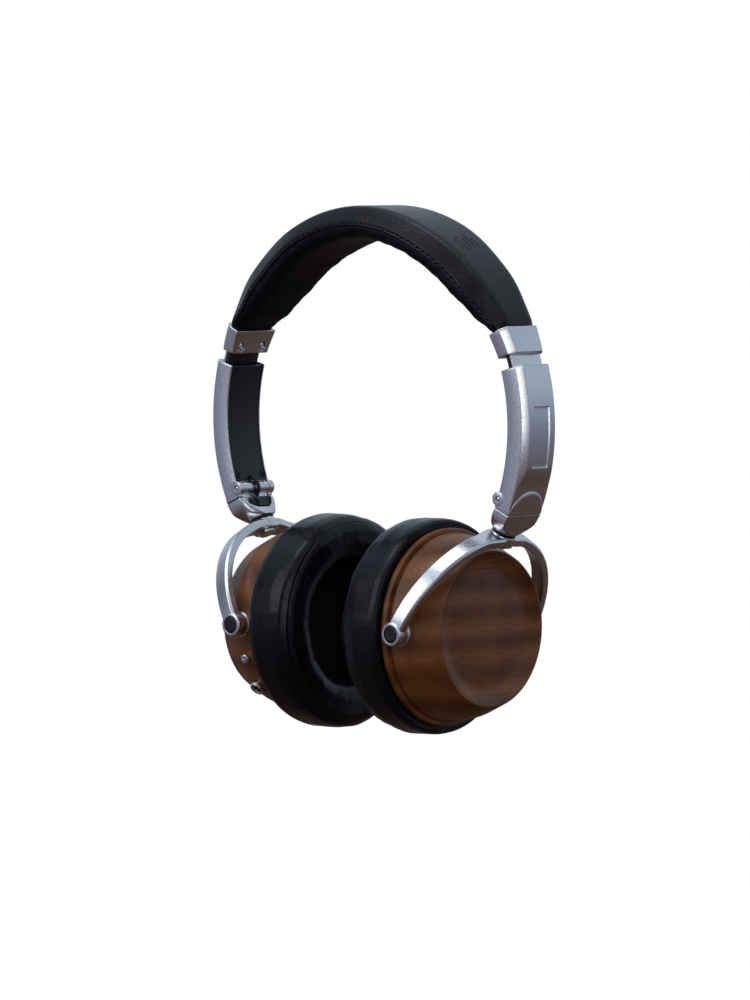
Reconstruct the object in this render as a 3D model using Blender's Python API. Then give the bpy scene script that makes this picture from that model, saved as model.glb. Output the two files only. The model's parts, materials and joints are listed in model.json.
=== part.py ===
"""Folding over-ear headphones: a leather headband, aluminium slider arms, fold hinges, yokes and walnut cups.

The origin is the middle of the crown's underside, where the headband rests on a head or a stand. +Z is up, +X is
the wearer's right and +Y the wearer's front. Lengths are in metres and angles in degrees. "side" is +1 for the
wearer's right half and -1 for the left half, which is its mirror image.
"""

import math

import bmesh
import bpy
from mathutils import Matrix, Vector

RIGHT, LEFT = 1, -1
SIDES = {"right": RIGHT, "left": LEFT}
ENDS = {"front": 1, "rear": -1}  # along Y
AXIS_Y = Vector((0, 1, 0))
GAP = 0.0003  # between pieces that touch

# Headband arch: one arc over the crown and a wider one down each side, which the sliders follow.
CROWN_Z, CROWN_R = -0.0615, 0.0745
ARC_X, ARC_Z = 0.0035, -0.0720
ARC_R = CROWN_R + math.hypot(ARC_X, CROWN_Z - ARC_Z)
CROWN_TURN = math.degrees(math.atan2(ARC_X, CROWN_Z - ARC_Z))

# Headband pad, by degrees from the vertical.
PAD_END = 63.0
PAD_HALF_WIDTH = [(0, 0.0175), (25, 0.0172), (45, 0.0150), (PAD_END, 0.0120)]
PAD_THICKNESS = [(0, 0.0130), (25, 0.0137), (44, 0.0143), (54, 0.0128), (PAD_END, 0.0088)]
SEAM_SHARE = 0.56  # of the thickness that the cover takes
PAD_FOLD = 0.0028
CHANNEL_HALF_WIDTH = 0.0090
CHANNEL_DEPTH = [(0, 0.0034), (54, 0.0034), (PAD_END, 0.0021)]
SPRING_HALF_WIDTH, SPRING_THICKNESS = 0.0087, 0.0012
SPRING_END = 64.8
WIRE_R = 0.0006
WIRE_Y = 0.0050

# Slider arc: angles are above the horizontal, radii from the arc's centre.
CAP_TOP, CAP_BOTTOM = 26.7, 19.4
CAP_INNER_R = 0.0776
CAP_HALF_WIDTHS = (0.01135, 0.01025)
CAP_CHAMFER = 0.00265
CAP_SLOT_R = (0.0800, 0.0833)
CAP_SCREW_ANGLE, CAP_SCREW_Y = 20.9, 0.0062
BAND_R, RAIL_R = (0.0818, 0.0830), (0.0803, 0.0815)
BAND_TOP, BAND_BOTTOM = 24.8, -8.0

ARM_TOP, ARM_BOTTOM = 15.9, -24.0
ARM_INNER_R, ARM_SIDE_R = 0.0771, 0.0844  # the side faces, and the chamfers stand on them
ARM_HALF_WIDTH = 0.00985
ARM_CHAMFER = [(-24.0, 0.00015), (-17.4, 0.0006), (-10.5, 0.0023), (16.0, 0.0023)]  # by angle
ARM_OUTER_R = ARM_SIDE_R + ARM_CHAMFER[-1][1]
CAVITY_R, CAVITY_HALF_WIDTH, CAVITY_BOTTOM = (0.0760, 0.0837), 0.0092, -19.2
COVER_R = (0.0774, 0.0793)
COVER_SCREW_ANGLE, COVER_SCREW_Y = -17.2, 0.0072
WINDOW_HALF_WIDTH, WINDOW_TOP, WINDOW_BOTTOM = 0.0045, 4.9, -10.8
WINDOW_DEPTH = 0.0005
BADGE_R, BADGE_FLOOR, BADGE_TOP = 0.0096, 0.0815, 0.0849
BADGE_STEP = 0.0001  # between the flat side of each half badge and the parting line

# Fold hinge: its pin lies along Y on the arm's inner side.
PIN_ARC_R, PIN_ANGLE = 0.0775, -21.3
PIN_R, EAR_R, BARREL_R = 0.0010, 0.0028, 0.00235
EAR_INNER_Y, BARREL_OUTER_Y, BARREL_INNER_Y = 0.0075, 0.0071, 0.0011
HINGE_WIRE_R, HINGE_WIRE_BEND = 0.0007, 0.0032

# Cup pivot, and the neck on which the yoke swivels. Distances along the neck are from the cup's centre.
CUP_X, CUP_Z = 0.0420, -0.1517
NECK_TILT = 29.5
NECK_R = 0.0052
NECK_BOTTOM = 0.0450
STUD_R, STUD_HEAD_R, STUD_TOP = 0.0018, 0.0036, 0.0480
POCKET = (0.0486, 0.0533)
POCKET_HALF_WIDTH, POCKET_FLOOR, POCKET_FACE = 0.0062, 0.0016, 0.0040
DIMPLE = (POCKET_FACE - 0.0005, POCKET_FACE + 0.0010, 0.0013)  # start, end and radius of a screw's recess
BRACKET_SCREW = (0.0040, 0.0507)  # along Y and along the neck

HUB_BOTTOM, HUB_TOP = 0.0392, 0.0436
YOKE_SIDE_R, YOKE_TOP_R = 0.04070, 0.04160
YOKE_THICKNESS, YOKE_WIDTH, YOKE_CHAMFER = 0.0035, 0.0070, 0.0009
BOSS_R, BOSS_INNER_Y, BOSS_OUTER_Y = 0.0047, 0.0375, 0.0427
PIVOT_R, PIVOT_HEAD_R, PIVOT_CAP_R = 0.0017, 0.0030, 0.0032
PIVOT_TIP_Y, PIVOT_HEAD_Y = 0.0334, (BOSS_OUTER_Y - 0.0027, BOSS_OUTER_Y - 0.0013)

# Cups: distances along X from the middle of the head, then radii about the cup's own axis.
PAD_FRONT, PAD_BACK, PAD_R, PAD_OPENING_R = 0.0127, 0.0332, 0.0424, 0.0240
BAFFLE_FRONT, BAFFLE_BACK, BAFFLE_R = 0.0321, 0.0335, 0.0380
DRIVER_R = 0.0215  # the hole in the baffle
CUP_FRONT, FLANGE_R = 0.0338, 0.0388
DISH_R, DISH_RIM, DISH_FLOOR_R, DISH_FLOOR = 0.0305, 0.0571, 0.0247, 0.0559
JACK_X, JACK_DROP, JACK_R, JACK_BORE_R = 0.0415, 43.5, 0.0030, 0.0018
SIDE_SCREW_DROP, SIDE_SCREW_R = 22.0, 0.0020


def clear_scene():
    for old in list(bpy.data.objects):
        bpy.data.objects.remove(old, do_unlink=True)


def principled(name, colour, roughness, metallic=0.0):
    material = bpy.data.materials.new(name)
    material.use_nodes = True
    shader = material.node_tree.nodes["Principled BSDF"]
    shader.inputs["Base Color"].default_value = (*colour, 1.0)
    shader.inputs["Roughness"].default_value = roughness
    shader.inputs["Metallic"].default_value = metallic
    return material


def make_materials():
    return {
        "leather": principled("black_leather", (0.012, 0.013, 0.018), 0.45),
        "aluminium": principled("satin_aluminium", (0.62, 0.63, 0.66), 0.32, 1.0),
        "steel": principled("polished_steel", (0.70, 0.70, 0.71), 0.20, 1.0),
        "plastic": principled("black_plastic", (0.015, 0.015, 0.017), 0.50),
        "rubber": principled("black_rubber", (0.018, 0.018, 0.019), 0.75),
        "walnut": principled("walnut", (0.14, 0.055, 0.022), 0.38),
        "cloth": principled("speaker_cloth", (0.02, 0.02, 0.022), 0.95),
        "film": principled("driver_film", (0.35, 0.33, 0.28), 0.30),
    }


def add_object(name, mesh_tool, material):
    """A new object that owns a finished bmesh, with its faces pointing out."""
    bmesh.ops.recalc_face_normals(mesh_tool, faces=mesh_tool.faces)
    mesh = bpy.data.meshes.new(name)
    mesh_tool.to_mesh(mesh)
    mesh_tool.free()
    mesh.shade_smooth()
    mesh.set_sharp_from_angle(angle=math.radians(35))
    made = bpy.data.objects.new(name, mesh)
    bpy.context.scene.collection.objects.link(made)
    if material:
        mesh.materials.append(material)
    else:
        made.hide_render = True
        made.display_type = "WIRE"
    return made


def lofted(name, sections, material=None):
    """A solid through a row of sections with equal numbers of points, closed at both ends."""
    tool = bmesh.new()
    rings = [[tool.verts.new(point) for point in section] for section in sections]
    count = len(rings[0])
    for ring, following in zip(rings, rings[1:]):
        for k in range(count):
            after = (k + 1) % count
            tool.faces.new((ring[k], ring[after], following[after], following[k]))
    tool.faces.new(rings[0])
    tool.faces.new(rings[-1])
    return add_object(name, tool, material)


def across(axis):
    """Two directions at right angles to an axis that lies in the YZ or the XZ plane."""
    first = Vector((1, 0, 0)) if abs(axis.x) < 1e-6 else AXIS_Y
    return first, axis.cross(first).normalized()


def turned_rings(tool, origin, axis, outline, steps):
    first, second = across(axis)
    turns = [2 * math.pi * k / steps for k in range(steps)]
    rings = []
    for along, radius in outline:
        centre = origin + axis * along
        if radius == 0:
            rings.append([tool.verts.new(centre)])
            continue
        spokes = [first * math.cos(t) + second * math.sin(t) for t in turns]
        rings.append([tool.verts.new(centre + spoke * radius) for spoke in spokes])
    return rings


def turned(name, origin, axis, outline, steps, material=None):
    """A solid turned from (distance along the axis, radius) points, closed on itself or on the axis."""
    tool = bmesh.new()
    rings = turned_rings(tool, origin, axis.normalized(), outline, steps)
    on_axis = outline[0][1] == 0 and outline[-1][1] == 0
    pairs = list(zip(rings, rings[1:]))
    if not on_axis:
        pairs.append((rings[-1], rings[0]))
    for ring, following in pairs:
        for k in range(steps if len(ring) + len(following) > 2 else 0):
            after = (k + 1) % steps
            corners = [ring[k % len(ring)], ring[after % len(ring)]]
            corners += [following[after % len(following)], following[k % len(following)]]
            tool.faces.new(list(dict.fromkeys(corners)))
    return add_object(name, tool, material)


def rod_outline(start, end, radius):
    return [(start, 0), (start, radius), (end, radius), (end, 0)]


def rod(name, origin, axis, start, end, radius, steps=12, material=None):
    return turned(name, origin, axis, rod_outline(start, end, radius), steps, material)


def block(name, origin, axes, low, high, material=None):
    """A box between two corners, measured along three directions from an origin."""
    tool = bmesh.new()
    corners = {}
    for a in (0, 1):
        for b in (0, 1):
            for c in (0, 1):
                picks = [(low, high)[pick][n] for n, pick in enumerate((a, b, c))]
                place = sum((axis * pick for axis, pick in zip(axes, picks)), origin.copy())
                corners[a, b, c] = tool.verts.new(place)
    for n in range(3):
        for end in (0, 1):
            loop = [(0, 0), (0, 1), (1, 1), (1, 0)]
            keys = [pair[:n] + (end,) + pair[n:] for pair in loop]
            tool.faces.new([corners[key] for key in keys])
    return add_object(name, tool, material)


def combine(target, tool, operation):
    boolean = target.modifiers.new(operation.lower(), "BOOLEAN")
    boolean.operation = operation
    boolean.object = tool
    tool.hide_render = True
    tool.display_type = "WIRE"


def cut(target, *tools):
    for tool in tools:
        combine(target, tool, "DIFFERENCE")


def add(target, *tools):
    for tool in tools:
        combine(target, tool, "UNION")


def steps_between(first, last, count):
    return [first + (last - first) * k / (count - 1) for k in range(count)]


def value_at(stops, place):
    """A smooth value between (place, value) stops."""
    for (start, low), (end, high) in zip(stops, stops[1:]):
        if place <= end:
            share = (place - start) / (end - start)
            return low + (high - low) * share * share * (3 - 2 * share)
    return stops[-1][1]


def arch_point(turn, depth, y):
    """A point under the arch's outer surface, at degrees from the vertical towards +X."""
    angle = math.radians(turn)
    outward = Vector((math.sin(angle), 0, math.cos(angle)))
    if abs(turn) <= CROWN_TURN:
        centre, radius = Vector((0, y, CROWN_Z)), CROWN_R
    else:
        centre, radius = Vector((-math.copysign(ARC_X, turn), y, ARC_Z)), ARC_R
    return centre + outward * (radius - depth)


def arch_solid(name, section, end, count, material):
    sections = []
    for turn in steps_between(-end, end, count):
        sections.append([arch_point(turn, depth, y) for y, depth in section(turn)])
    return lofted(name, sections, material)


def seam_depth(turn):
    return value_at(PAD_THICKNESS, abs(turn)) * SEAM_SHARE


def mirrored(half):
    """A section's right half, followed by its left half."""
    return half + [(-y, depth) for y, depth in reversed(half)]


def cover_section(turn):
    width, seam = value_at(PAD_HALF_WIDTH, abs(turn)), seam_depth(turn)
    channel = seam - value_at(CHANNEL_DEPTH, abs(turn))
    return mirrored([
        (CHANNEL_HALF_WIDTH, channel),
        (CHANNEL_HALF_WIDTH, seam),
        (width - GAP, seam),
        (width, seam - 0.0010),
        (width, PAD_FOLD),
        (width - PAD_FOLD, 0.0004),
        (width - 2.2 * PAD_FOLD, 0.0),
    ])


def cushion_section(turn):
    width, seam = value_at(PAD_HALF_WIDTH, abs(turn)), seam_depth(turn) + GAP
    bottom = value_at(PAD_THICKNESS, abs(turn))
    return mirrored([
        (width - GAP, seam),
        (width, seam + 0.0010),
        (width - 0.0004, bottom - 0.0022),
        (width - 0.0030, bottom - 0.0004),
        (width - 0.0075, bottom),
    ])


def spring_section(turn):
    bottom = seam_depth(turn) - GAP
    return mirrored([(SPRING_HALF_WIDTH, bottom), (SPRING_HALF_WIDTH, bottom - SPRING_THICKNESS)])


def wire_section(turn):
    depth = seam_depth(turn) - GAP - SPRING_THICKNESS - GAP - WIRE_R
    turns = [math.radians(90 * k) for k in range(4)]
    return [(WIRE_Y + WIRE_R * math.cos(t), depth - WIRE_R * math.sin(t)) for t in turns]


def make_headband(materials):
    arch_solid("headband_cover", cover_section, PAD_END, 25, materials["leather"])
    arch_solid("headband_cushion", cushion_section, PAD_END, 25, materials["leather"])
    arch_solid("headband_spring", spring_section, SPRING_END, 25, materials["steel"])
    arch_solid("headband_wire", wire_section, PAD_END - 6, 21, materials["rubber"])


def arc_outward(side, angle):
    turn = math.radians(angle)
    return Vector((side * math.cos(turn), 0, math.sin(turn)))


def arc_point(side, radius, angle, y=0.0):
    return Vector((-side * ARC_X, y, ARC_Z)) + arc_outward(side, angle) * radius


def arc_solid(name, side, sections, angles, material=None):
    """A solid along the slider arc. Each section lists (y, radius) points."""
    placed = []
    for section, angle in zip(sections, angles):
        placed.append([arc_point(side, radius, angle, y) for y, radius in section])
    return lofted(name, placed, material)


def arc_bar(name, side, half_width, radii, top, bottom, material=None):
    """A bar of rectangular section along the slider arc."""
    count = max(2, round((top - bottom) / 3.3) + 1)
    section = [(half_width, radii[0]), (half_width, radii[1])]
    section = mirrored(section)
    return arc_solid(name, side, [section] * count, steps_between(top, bottom, count), material)


def chamfered_section(half_width, inner, outer, chamfer):
    half = [(half_width, inner), (half_width, outer - chamfer), (half_width - chamfer, outer)]
    return mirrored(half)


def radial_screws(name, side, angle, y, radii, head_r, shaft_r, material):
    """Two pan-head screws that go outwards through the inner side of a piece on the slider arc."""
    head, seat, tip = radii
    outline = [(head, 0), (head, head_r * 0.8), (head + 0.0003, head_r), (seat, head_r)]
    outline += [(seat, shaft_r), (tip, shaft_r), (tip, 0)]
    for end, y_sign in ENDS.items():
        start = arc_point(side, 0, 0, y * y_sign)
        turned(f"{name}_{end}", start, arc_outward(side, angle), outline, 8, material)


def radial_holes(target, side, angle, y, radii, radius):
    for y_sign in ENDS.values():
        start = arc_point(side, 0, 0, y * y_sign)
        cut(target, rod(f"{target.name}_hole", start, arc_outward(side, angle), *radii, radius, 8))


def make_end_cap(label, side, materials):
    widths = steps_between(*CAP_HALF_WIDTHS, 4)
    sections = [chamfered_section(w, CAP_INNER_R, ARC_R, CAP_CHAMFER) for w in widths]
    angles = steps_between(CAP_TOP, CAP_BOTTOM, 4)
    cap = arc_solid(f"{label}_end_cap", side, sections, angles, materials["aluminium"])
    slot = arc_bar(f"{label}_cap_slot", side, CHANNEL_HALF_WIDTH, CAP_SLOT_R, CAP_TOP + 1, CAP_BOTTOM - 1)
    cut(cap, slot)
    where = (side, CAP_SCREW_ANGLE, CAP_SCREW_Y)
    radial_holes(cap, *where, (CAP_INNER_R - 0.001, CAP_SLOT_R[0] + 0.0005), 0.0013)
    radii = (CAP_INNER_R - 0.0010, CAP_INNER_R - GAP, CAP_SLOT_R[0])
    radial_screws(f"{label}_cap_screw", *where, radii, 0.0017, 0.0010, materials["steel"])


def make_slider_strip(label, side, materials):
    """The steel strip that the arm slides on, and the black wire rail behind it."""
    span = (BAND_TOP, BAND_BOTTOM)
    arc_bar(f"{label}_slider_band", side, SPRING_HALF_WIDTH, BAND_R, *span, materials["steel"])
    arc_bar(f"{label}_slider_rail", side, SPRING_HALF_WIDTH, RAIL_R, *span, materials["plastic"])


def pin_centre(side):
    return arc_point(side, PIN_ARC_R, PIN_ANGLE)


def medallion_half(name, side, above):
    """Half of the round badge that straddles the parting line: the arm's half above it, or the bracket's below."""
    outward = arc_outward(side, ARM_BOTTOM)
    along = AXIS_Y.cross(outward) * (-side)
    centre = arc_point(side, 0, 0)
    badge = rod(name, centre, outward, BADGE_FLOOR, BADGE_TOP, BADGE_R, 24)
    low, high = (BADGE_STEP, 0.03) if above else (-0.03, -GAP - BADGE_STEP)
    keep_low, keep_high = (BADGE_FLOOR - 0.001, -0.02, low), (BADGE_TOP + 0.001, 0.02, high)
    keep = block(f"{name}_keep", centre, (outward, AXIS_Y, along), keep_low, keep_high)
    combine(badge, keep, "INTERSECT")
    return badge


def ear(name, side, y_sign):
    start, end = sorted((y_sign * EAR_INNER_Y, y_sign * ARM_HALF_WIDTH))
    return rod(name, pin_centre(side), AXIS_Y, start, end, EAR_R, 16)


def hinge_frame(side):
    """Directions at the fold hinge: outwards, along the pin, and up along the arm."""
    outward = arc_outward(side, PIN_ANGLE)
    upward = arc_outward(side, PIN_ANGLE + 90)
    return outward, AXIS_Y, upward


def make_slider_arm(label, side, materials):
    angles = steps_between(ARM_TOP, ARM_BOTTOM, 13)
    chamfers = [value_at(ARM_CHAMFER, angle) for angle in angles]
    sections = [chamfered_section(ARM_HALF_WIDTH, ARM_INNER_R, ARM_SIDE_R + c, c) for c in chamfers]
    arm = arc_solid(f"{label}_slider_arm", side, sections, angles, materials["aluminium"])
    name = f"{label}_arm"
    cavity = arc_bar(f"{name}_cavity", side, CAVITY_HALF_WIDTH, CAVITY_R, ARM_TOP + 1, CAVITY_BOTTOM)
    window_r = (ARM_OUTER_R - WINDOW_DEPTH, ARM_OUTER_R + 0.002)
    window = arc_bar(f"{name}_window", side, WINDOW_HALF_WIDTH, window_r, WINDOW_TOP, WINDOW_BOTTOM)
    add(arm, ear(f"{name}_front_ear", side, 1), ear(f"{name}_rear_ear", side, -1))
    add(arm, medallion_half(f"{name}_badge", side, above=True))
    room = BARREL_R + 0.00035
    notch_y = BARREL_OUTER_Y + GAP
    barrel_room = rod(f"{name}_barrel_room", pin_centre(side), AXIS_Y, -notch_y, notch_y, room, 16)
    notch_low, notch_high = (-0.006, -notch_y, -0.008), (room, notch_y, 0.0)
    notch = block(f"{name}_notch", pin_centre(side), hinge_frame(side), notch_low, notch_high)
    pin_hole = rod(f"{name}_pin_hole", pin_centre(side), AXIS_Y, -0.02, 0.02, PIN_R + GAP)
    cut(arm, cavity, window, barrel_room, notch, pin_hole)


def make_arm_cover(label, side, materials):
    half_width = CAVITY_HALF_WIDTH - GAP
    span = (ARM_TOP - 0.3, CAVITY_BOTTOM + 0.3)
    cover = arc_bar(f"{label}_arm_cover", side, half_width, COVER_R, *span, materials["plastic"])
    where = (side, COVER_SCREW_ANGLE, COVER_SCREW_Y)
    radial_holes(cover, *where, (COVER_R[0] - 0.001, COVER_R[1] + 0.001), 0.0011)
    radii = (COVER_R[0] - 0.0009, COVER_R[0] - GAP, COVER_R[1] - 0.0001)
    radial_screws(f"{label}_cover_screw", *where, radii, 0.0014, 0.0008, materials["steel"])


def make_hinge_pin(label, side, materials):
    half_length = ARM_HALF_WIDTH - 0.0002
    rod(f"{label}_hinge_pin", pin_centre(side), AXIS_Y, -half_length, half_length, PIN_R, 12, materials["steel"])


def make_hinge_wire(label, side, materials):
    """The signal wire where it bends round the hinge pin, in the slot between the two barrels."""
    outward, across_pin, upward = hinge_frame(side)
    sections = []
    for turn in steps_between(100, 262, 8):
        bend = math.radians(turn)
        spoke = outward * math.cos(bend) + upward * math.sin(bend)
        centre = pin_centre(side) + spoke * HINGE_WIRE_BEND
        ring = [math.radians(60 * k) for k in range(6)]
        sections.append(
            [centre + (spoke * math.cos(t) + across_pin * math.sin(t)) * HINGE_WIRE_R for t in ring]
        )
    lofted(f"{label}_hinge_wire", sections, materials["rubber"])


def cup_centre(side):
    return Vector((side * CUP_X, 0, CUP_Z))


def neck_axis(side):
    tilt = math.radians(NECK_TILT)
    return Vector((side * math.sin(tilt), 0, math.cos(tilt)))


def neck_inward(side):
    """At right angles to the neck, towards the head."""
    tilt = math.radians(NECK_TILT)
    return Vector((-side * math.cos(tilt), 0, math.sin(tilt)))


def superellipse(centre, first, second, half_widths, power, count=16):
    """A ring that goes from a rounded rectangle (high power) to an ellipse (power 2)."""
    points = []
    for k in range(count):
        turn = 2 * math.pi * (k + 0.5) / count
        c, s = math.cos(turn), math.sin(turn)
        u = math.copysign(abs(c) ** (2 / power), c) * half_widths[0]
        v = math.copysign(abs(s) ** (2 / power), s) * half_widths[1]
        points.append(centre + first * u + second * v)
    return points


def bracket_sections(side):
    """From the arm's section at the parting line to the round neck."""
    top_angle = ARM_BOTTOM - math.degrees(GAP / ARM_INNER_R)
    top = arc_point(side, (ARM_INNER_R + ARM_SIDE_R) / 2, top_angle)
    bottom = cup_centre(side) + neck_axis(side) * NECK_BOTTOM
    top_out, neck_out = arc_outward(side, top_angle), -neck_inward(side)
    narrowing = 1 - (NECK_R / ARM_HALF_WIDTH) ** 2
    half_depth = (ARM_SIDE_R - ARM_INNER_R) / 2
    sections = []
    for share in (0.0, 0.2, 0.4, 0.6, 0.8, 1.0):
        ease = share * share * (3 - 2 * share)
        centre = top.lerp(bottom, share)
        outward = top_out.lerp(neck_out, share).normalized()
        width = ARM_HALF_WIDTH * math.sqrt(1 - share * share * narrowing)
        depth = half_depth + (NECK_R - half_depth) * ease
        power = 7.0 + (2.0 - 7.0) * min(1.0, share * 1.25)
        sections.append(superellipse(centre, outward, AXIS_Y, (depth, width), power))
    return sections


def barrel_tools(name, side):
    """Two barrels on the hinge pin, each with the web that joins it to the bracket."""
    tools = []
    for y_sign in ENDS.values():
        start, end = sorted((y_sign * BARREL_INNER_Y, y_sign * BARREL_OUTER_Y))
        tools.append(rod(f"{name}_barrel", pin_centre(side), AXIS_Y, start, end, BARREL_R, 16))
        low, high = (0.0, start, -0.0060), (BARREL_R, end, 0.0)
        tools.append(block(f"{name}_web", pin_centre(side), hinge_frame(side), low, high))
    return tools


def neck_frame(side):
    return neck_inward(side), AXIS_Y, neck_axis(side)


def pocket_block(name, side, spare, floor, face, material=None):
    """A box in the bracket's inner side, between two distances from the neck's axis."""
    half_width = POCKET_HALF_WIDTH - spare
    low = (floor, -half_width, POCKET[0] + spare)
    high = (face, half_width, POCKET[1] - spare)
    return block(name, cup_centre(side), neck_frame(side), low, high, material)


def make_fold_bracket(label, side, materials):
    name = f"{label}_bracket"
    bracket = lofted(f"{label}_fold_bracket", bracket_sections(side), materials["aluminium"])
    add(bracket, medallion_half(f"{name}_badge", side, above=False))
    add(bracket, *barrel_tools(name, side))
    pin_hole = rod(f"{name}_pin_hole", pin_centre(side), AXIS_Y, -0.02, 0.02, PIN_R + GAP)
    slot_low, slot_high = (-0.004, -BARREL_INNER_Y, -0.0062), (BARREL_R + GAP, BARREL_INNER_Y, 0.004)
    slot = block(f"{name}_wire_slot", pin_centre(side), hinge_frame(side), slot_low, slot_high)
    stud_hole = rod(
        f"{name}_stud_hole", cup_centre(side), neck_axis(side), NECK_BOTTOM - 0.001, STUD_TOP + GAP, STUD_R + GAP
    )
    pocket = pocket_block(f"{name}_pocket", side, 0.0, POCKET_FLOOR, 0.012)
    cut(bracket, pin_hole, slot, stud_hole, pocket)


def make_bracket_cover(label, side, materials):
    cover = pocket_block(
        f"{label}_bracket_cover", side, GAP, POCKET_FLOOR + GAP, POCKET_FACE, materials["plastic"]
    )
    for y_sign in ENDS.values():
        place = cup_centre(side) + neck_axis(side) * BRACKET_SCREW[1] + AXIS_Y * BRACKET_SCREW[0] * y_sign
        cut(cover, rod(f"{label}_bracket_cover_dimple", place, neck_inward(side), *DIMPLE))


def make_swivel(label, side, materials):
    centre, axis = cup_centre(side), neck_axis(side)
    head = HUB_BOTTOM - GAP
    outline = [(head - 0.0010, 0), (head - 0.0010, STUD_HEAD_R - 0.0004), (head - 0.0006, STUD_HEAD_R)]
    outline += [(head, STUD_HEAD_R), (head, STUD_R), (STUD_TOP, STUD_R), (STUD_TOP, 0)]
    turned(f"{label}_swivel_stud", centre, axis, outline, 12, materials["steel"])
    low, high = HUB_TOP + GAP, NECK_BOTTOM - GAP
    ring = [(low, STUD_R + GAP), (low, NECK_R - 0.0004), (high, NECK_R - 0.0004), (high, STUD_R + GAP)]
    turned(f"{label}_swivel_washer", centre, axis, ring, 16, materials["rubber"])


def yoke_sections(side):
    """Flat band bent into an arch over the cup, in the plane of the pivots and the neck."""
    centre, axis = cup_centre(side), neck_axis(side)
    flat = neck_inward(side)
    sections = []
    for turn in steps_between(4, 176, 19):
        bend = math.radians(turn)
        radius = YOKE_SIDE_R + (YOKE_TOP_R - YOKE_SIDE_R) * math.sin(bend) ** 2
        spoke = axis * math.sin(bend) - AXIS_Y * math.cos(bend)
        inner, outer = radius - YOKE_THICKNESS / 2, radius + YOKE_THICKNESS / 2
        half = YOKE_WIDTH / 2
        outline = [(inner, half), (outer - YOKE_CHAMFER, half), (outer, half - YOKE_CHAMFER)]
        outline += [(r, -w) for r, w in reversed(outline)]
        sections.append([centre + spoke * r + flat * w for r, w in outline])
    return sections


def make_yoke(label, side, materials):
    name = f"{label}_yoke"
    centre, axis = cup_centre(side), neck_axis(side)
    yoke = lofted(name, yoke_sections(side), materials["aluminium"])
    add(yoke, rod(f"{name}_hub", centre, axis, HUB_BOTTOM, HUB_TOP, NECK_R, 20))
    for y_sign in ENDS.values():
        out = AXIS_Y * y_sign
        add(yoke, rod(f"{name}_boss", centre, out, BOSS_INNER_Y, BOSS_OUTER_Y, BOSS_R, 16))
        cut(yoke, rod(f"{name}_bore", centre, out, 0.03, 0.05, PIVOT_R + GAP))
        cut(yoke, rod(f"{name}_sink", centre, out, BOSS_OUTER_Y - 0.0030, 0.05, PIVOT_CAP_R + GAP, 12))
    cut(yoke, rod(f"{name}_stud_hole", centre, axis, 0.03, 0.05, STUD_R + GAP))


def make_pivot_plugs(label, side, materials):
    """Black plugs in the yoke's bosses, which hide the pivot screws' heads."""
    low, high = PIVOT_HEAD_Y[1] + GAP, BOSS_OUTER_Y + 0.0003
    plug = [(low, 0), (low, PIVOT_CAP_R), (high - 0.0003, PIVOT_CAP_R)]
    plug += [(high, PIVOT_CAP_R - 0.0004), (high, 0)]
    for end, y_sign in ENDS.items():
        where = (cup_centre(side), AXIS_Y * y_sign)
        turned(f"{label}_pivot_plug_{end}", *where, plug, 12, materials["rubber"])


def make_pivot_screws(label, side, materials):
    """Shouldered screws in the cup's wall, on which the cup tilts in the yoke."""
    head_low, head_high = PIVOT_HEAD_Y
    screw = [(PIVOT_TIP_Y, 0), (PIVOT_TIP_Y, PIVOT_R), (head_low, PIVOT_R), (head_low, PIVOT_HEAD_R)]
    screw += [(head_high, PIVOT_HEAD_R), (head_high, 0)]
    for end, y_sign in ENDS.items():
        where = (cup_centre(side), AXIS_Y * y_sign)
        turned(f"{label}_pivot_screw_{end}", *where, screw, 12, materials["steel"])


def cup_axis(side):
    return Vector((0, 0, CUP_Z)), Vector((side, 0, 0))


def radial_from_cup(side, drop):
    """Start and direction of a hole through the cup's wall, at degrees below the rear side."""
    turn = math.radians(drop)
    return Vector((side * JACK_X, 0, CUP_Z)), Vector((0, -math.cos(turn), -math.sin(turn)))


def make_wood_cup(label, side, materials):
    outline = [
        (DISH_FLOOR, 0),
        (DISH_FLOOR, DISH_FLOOR_R),
        (DISH_RIM, DISH_R - 0.0012),
        (DISH_RIM - 0.0002, DISH_R),
        (0.0545, DISH_R + 0.0004),
        (0.0540, DISH_R + 0.0012),
        (0.0520, 0.0330),
        (0.0465, 0.0353),
        (0.0370, 0.0370),
        (0.0370, 0.0363),
        (0.0360, 0.0363),
        (0.0360, FLANGE_R),
        (CUP_FRONT, FLANGE_R),
        (CUP_FRONT, 0.0334),
        (0.0460, 0.0315),
        (0.0515, 0.0260),
        (0.0515, 0),
    ]
    cup = turned(f"{label}_wood_cup", *cup_axis(side), outline, 36, materials["walnut"])
    cut(cup, rod(f"{label}_cup_pivot_hole", cup_centre(side), AXIS_Y, -0.05, 0.05, PIVOT_R + GAP))
    if side == LEFT:
        for drop, radius in ((JACK_DROP, 0.0027), (SIDE_SCREW_DROP, 0.0013)):
            start, out = radial_from_cup(side, drop)
            hole = turned(f"cup_hole_{drop:.0f}", start, out, rod_outline(0.02, 0.05, radius), 16)
            cut(cup, hole)


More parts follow.
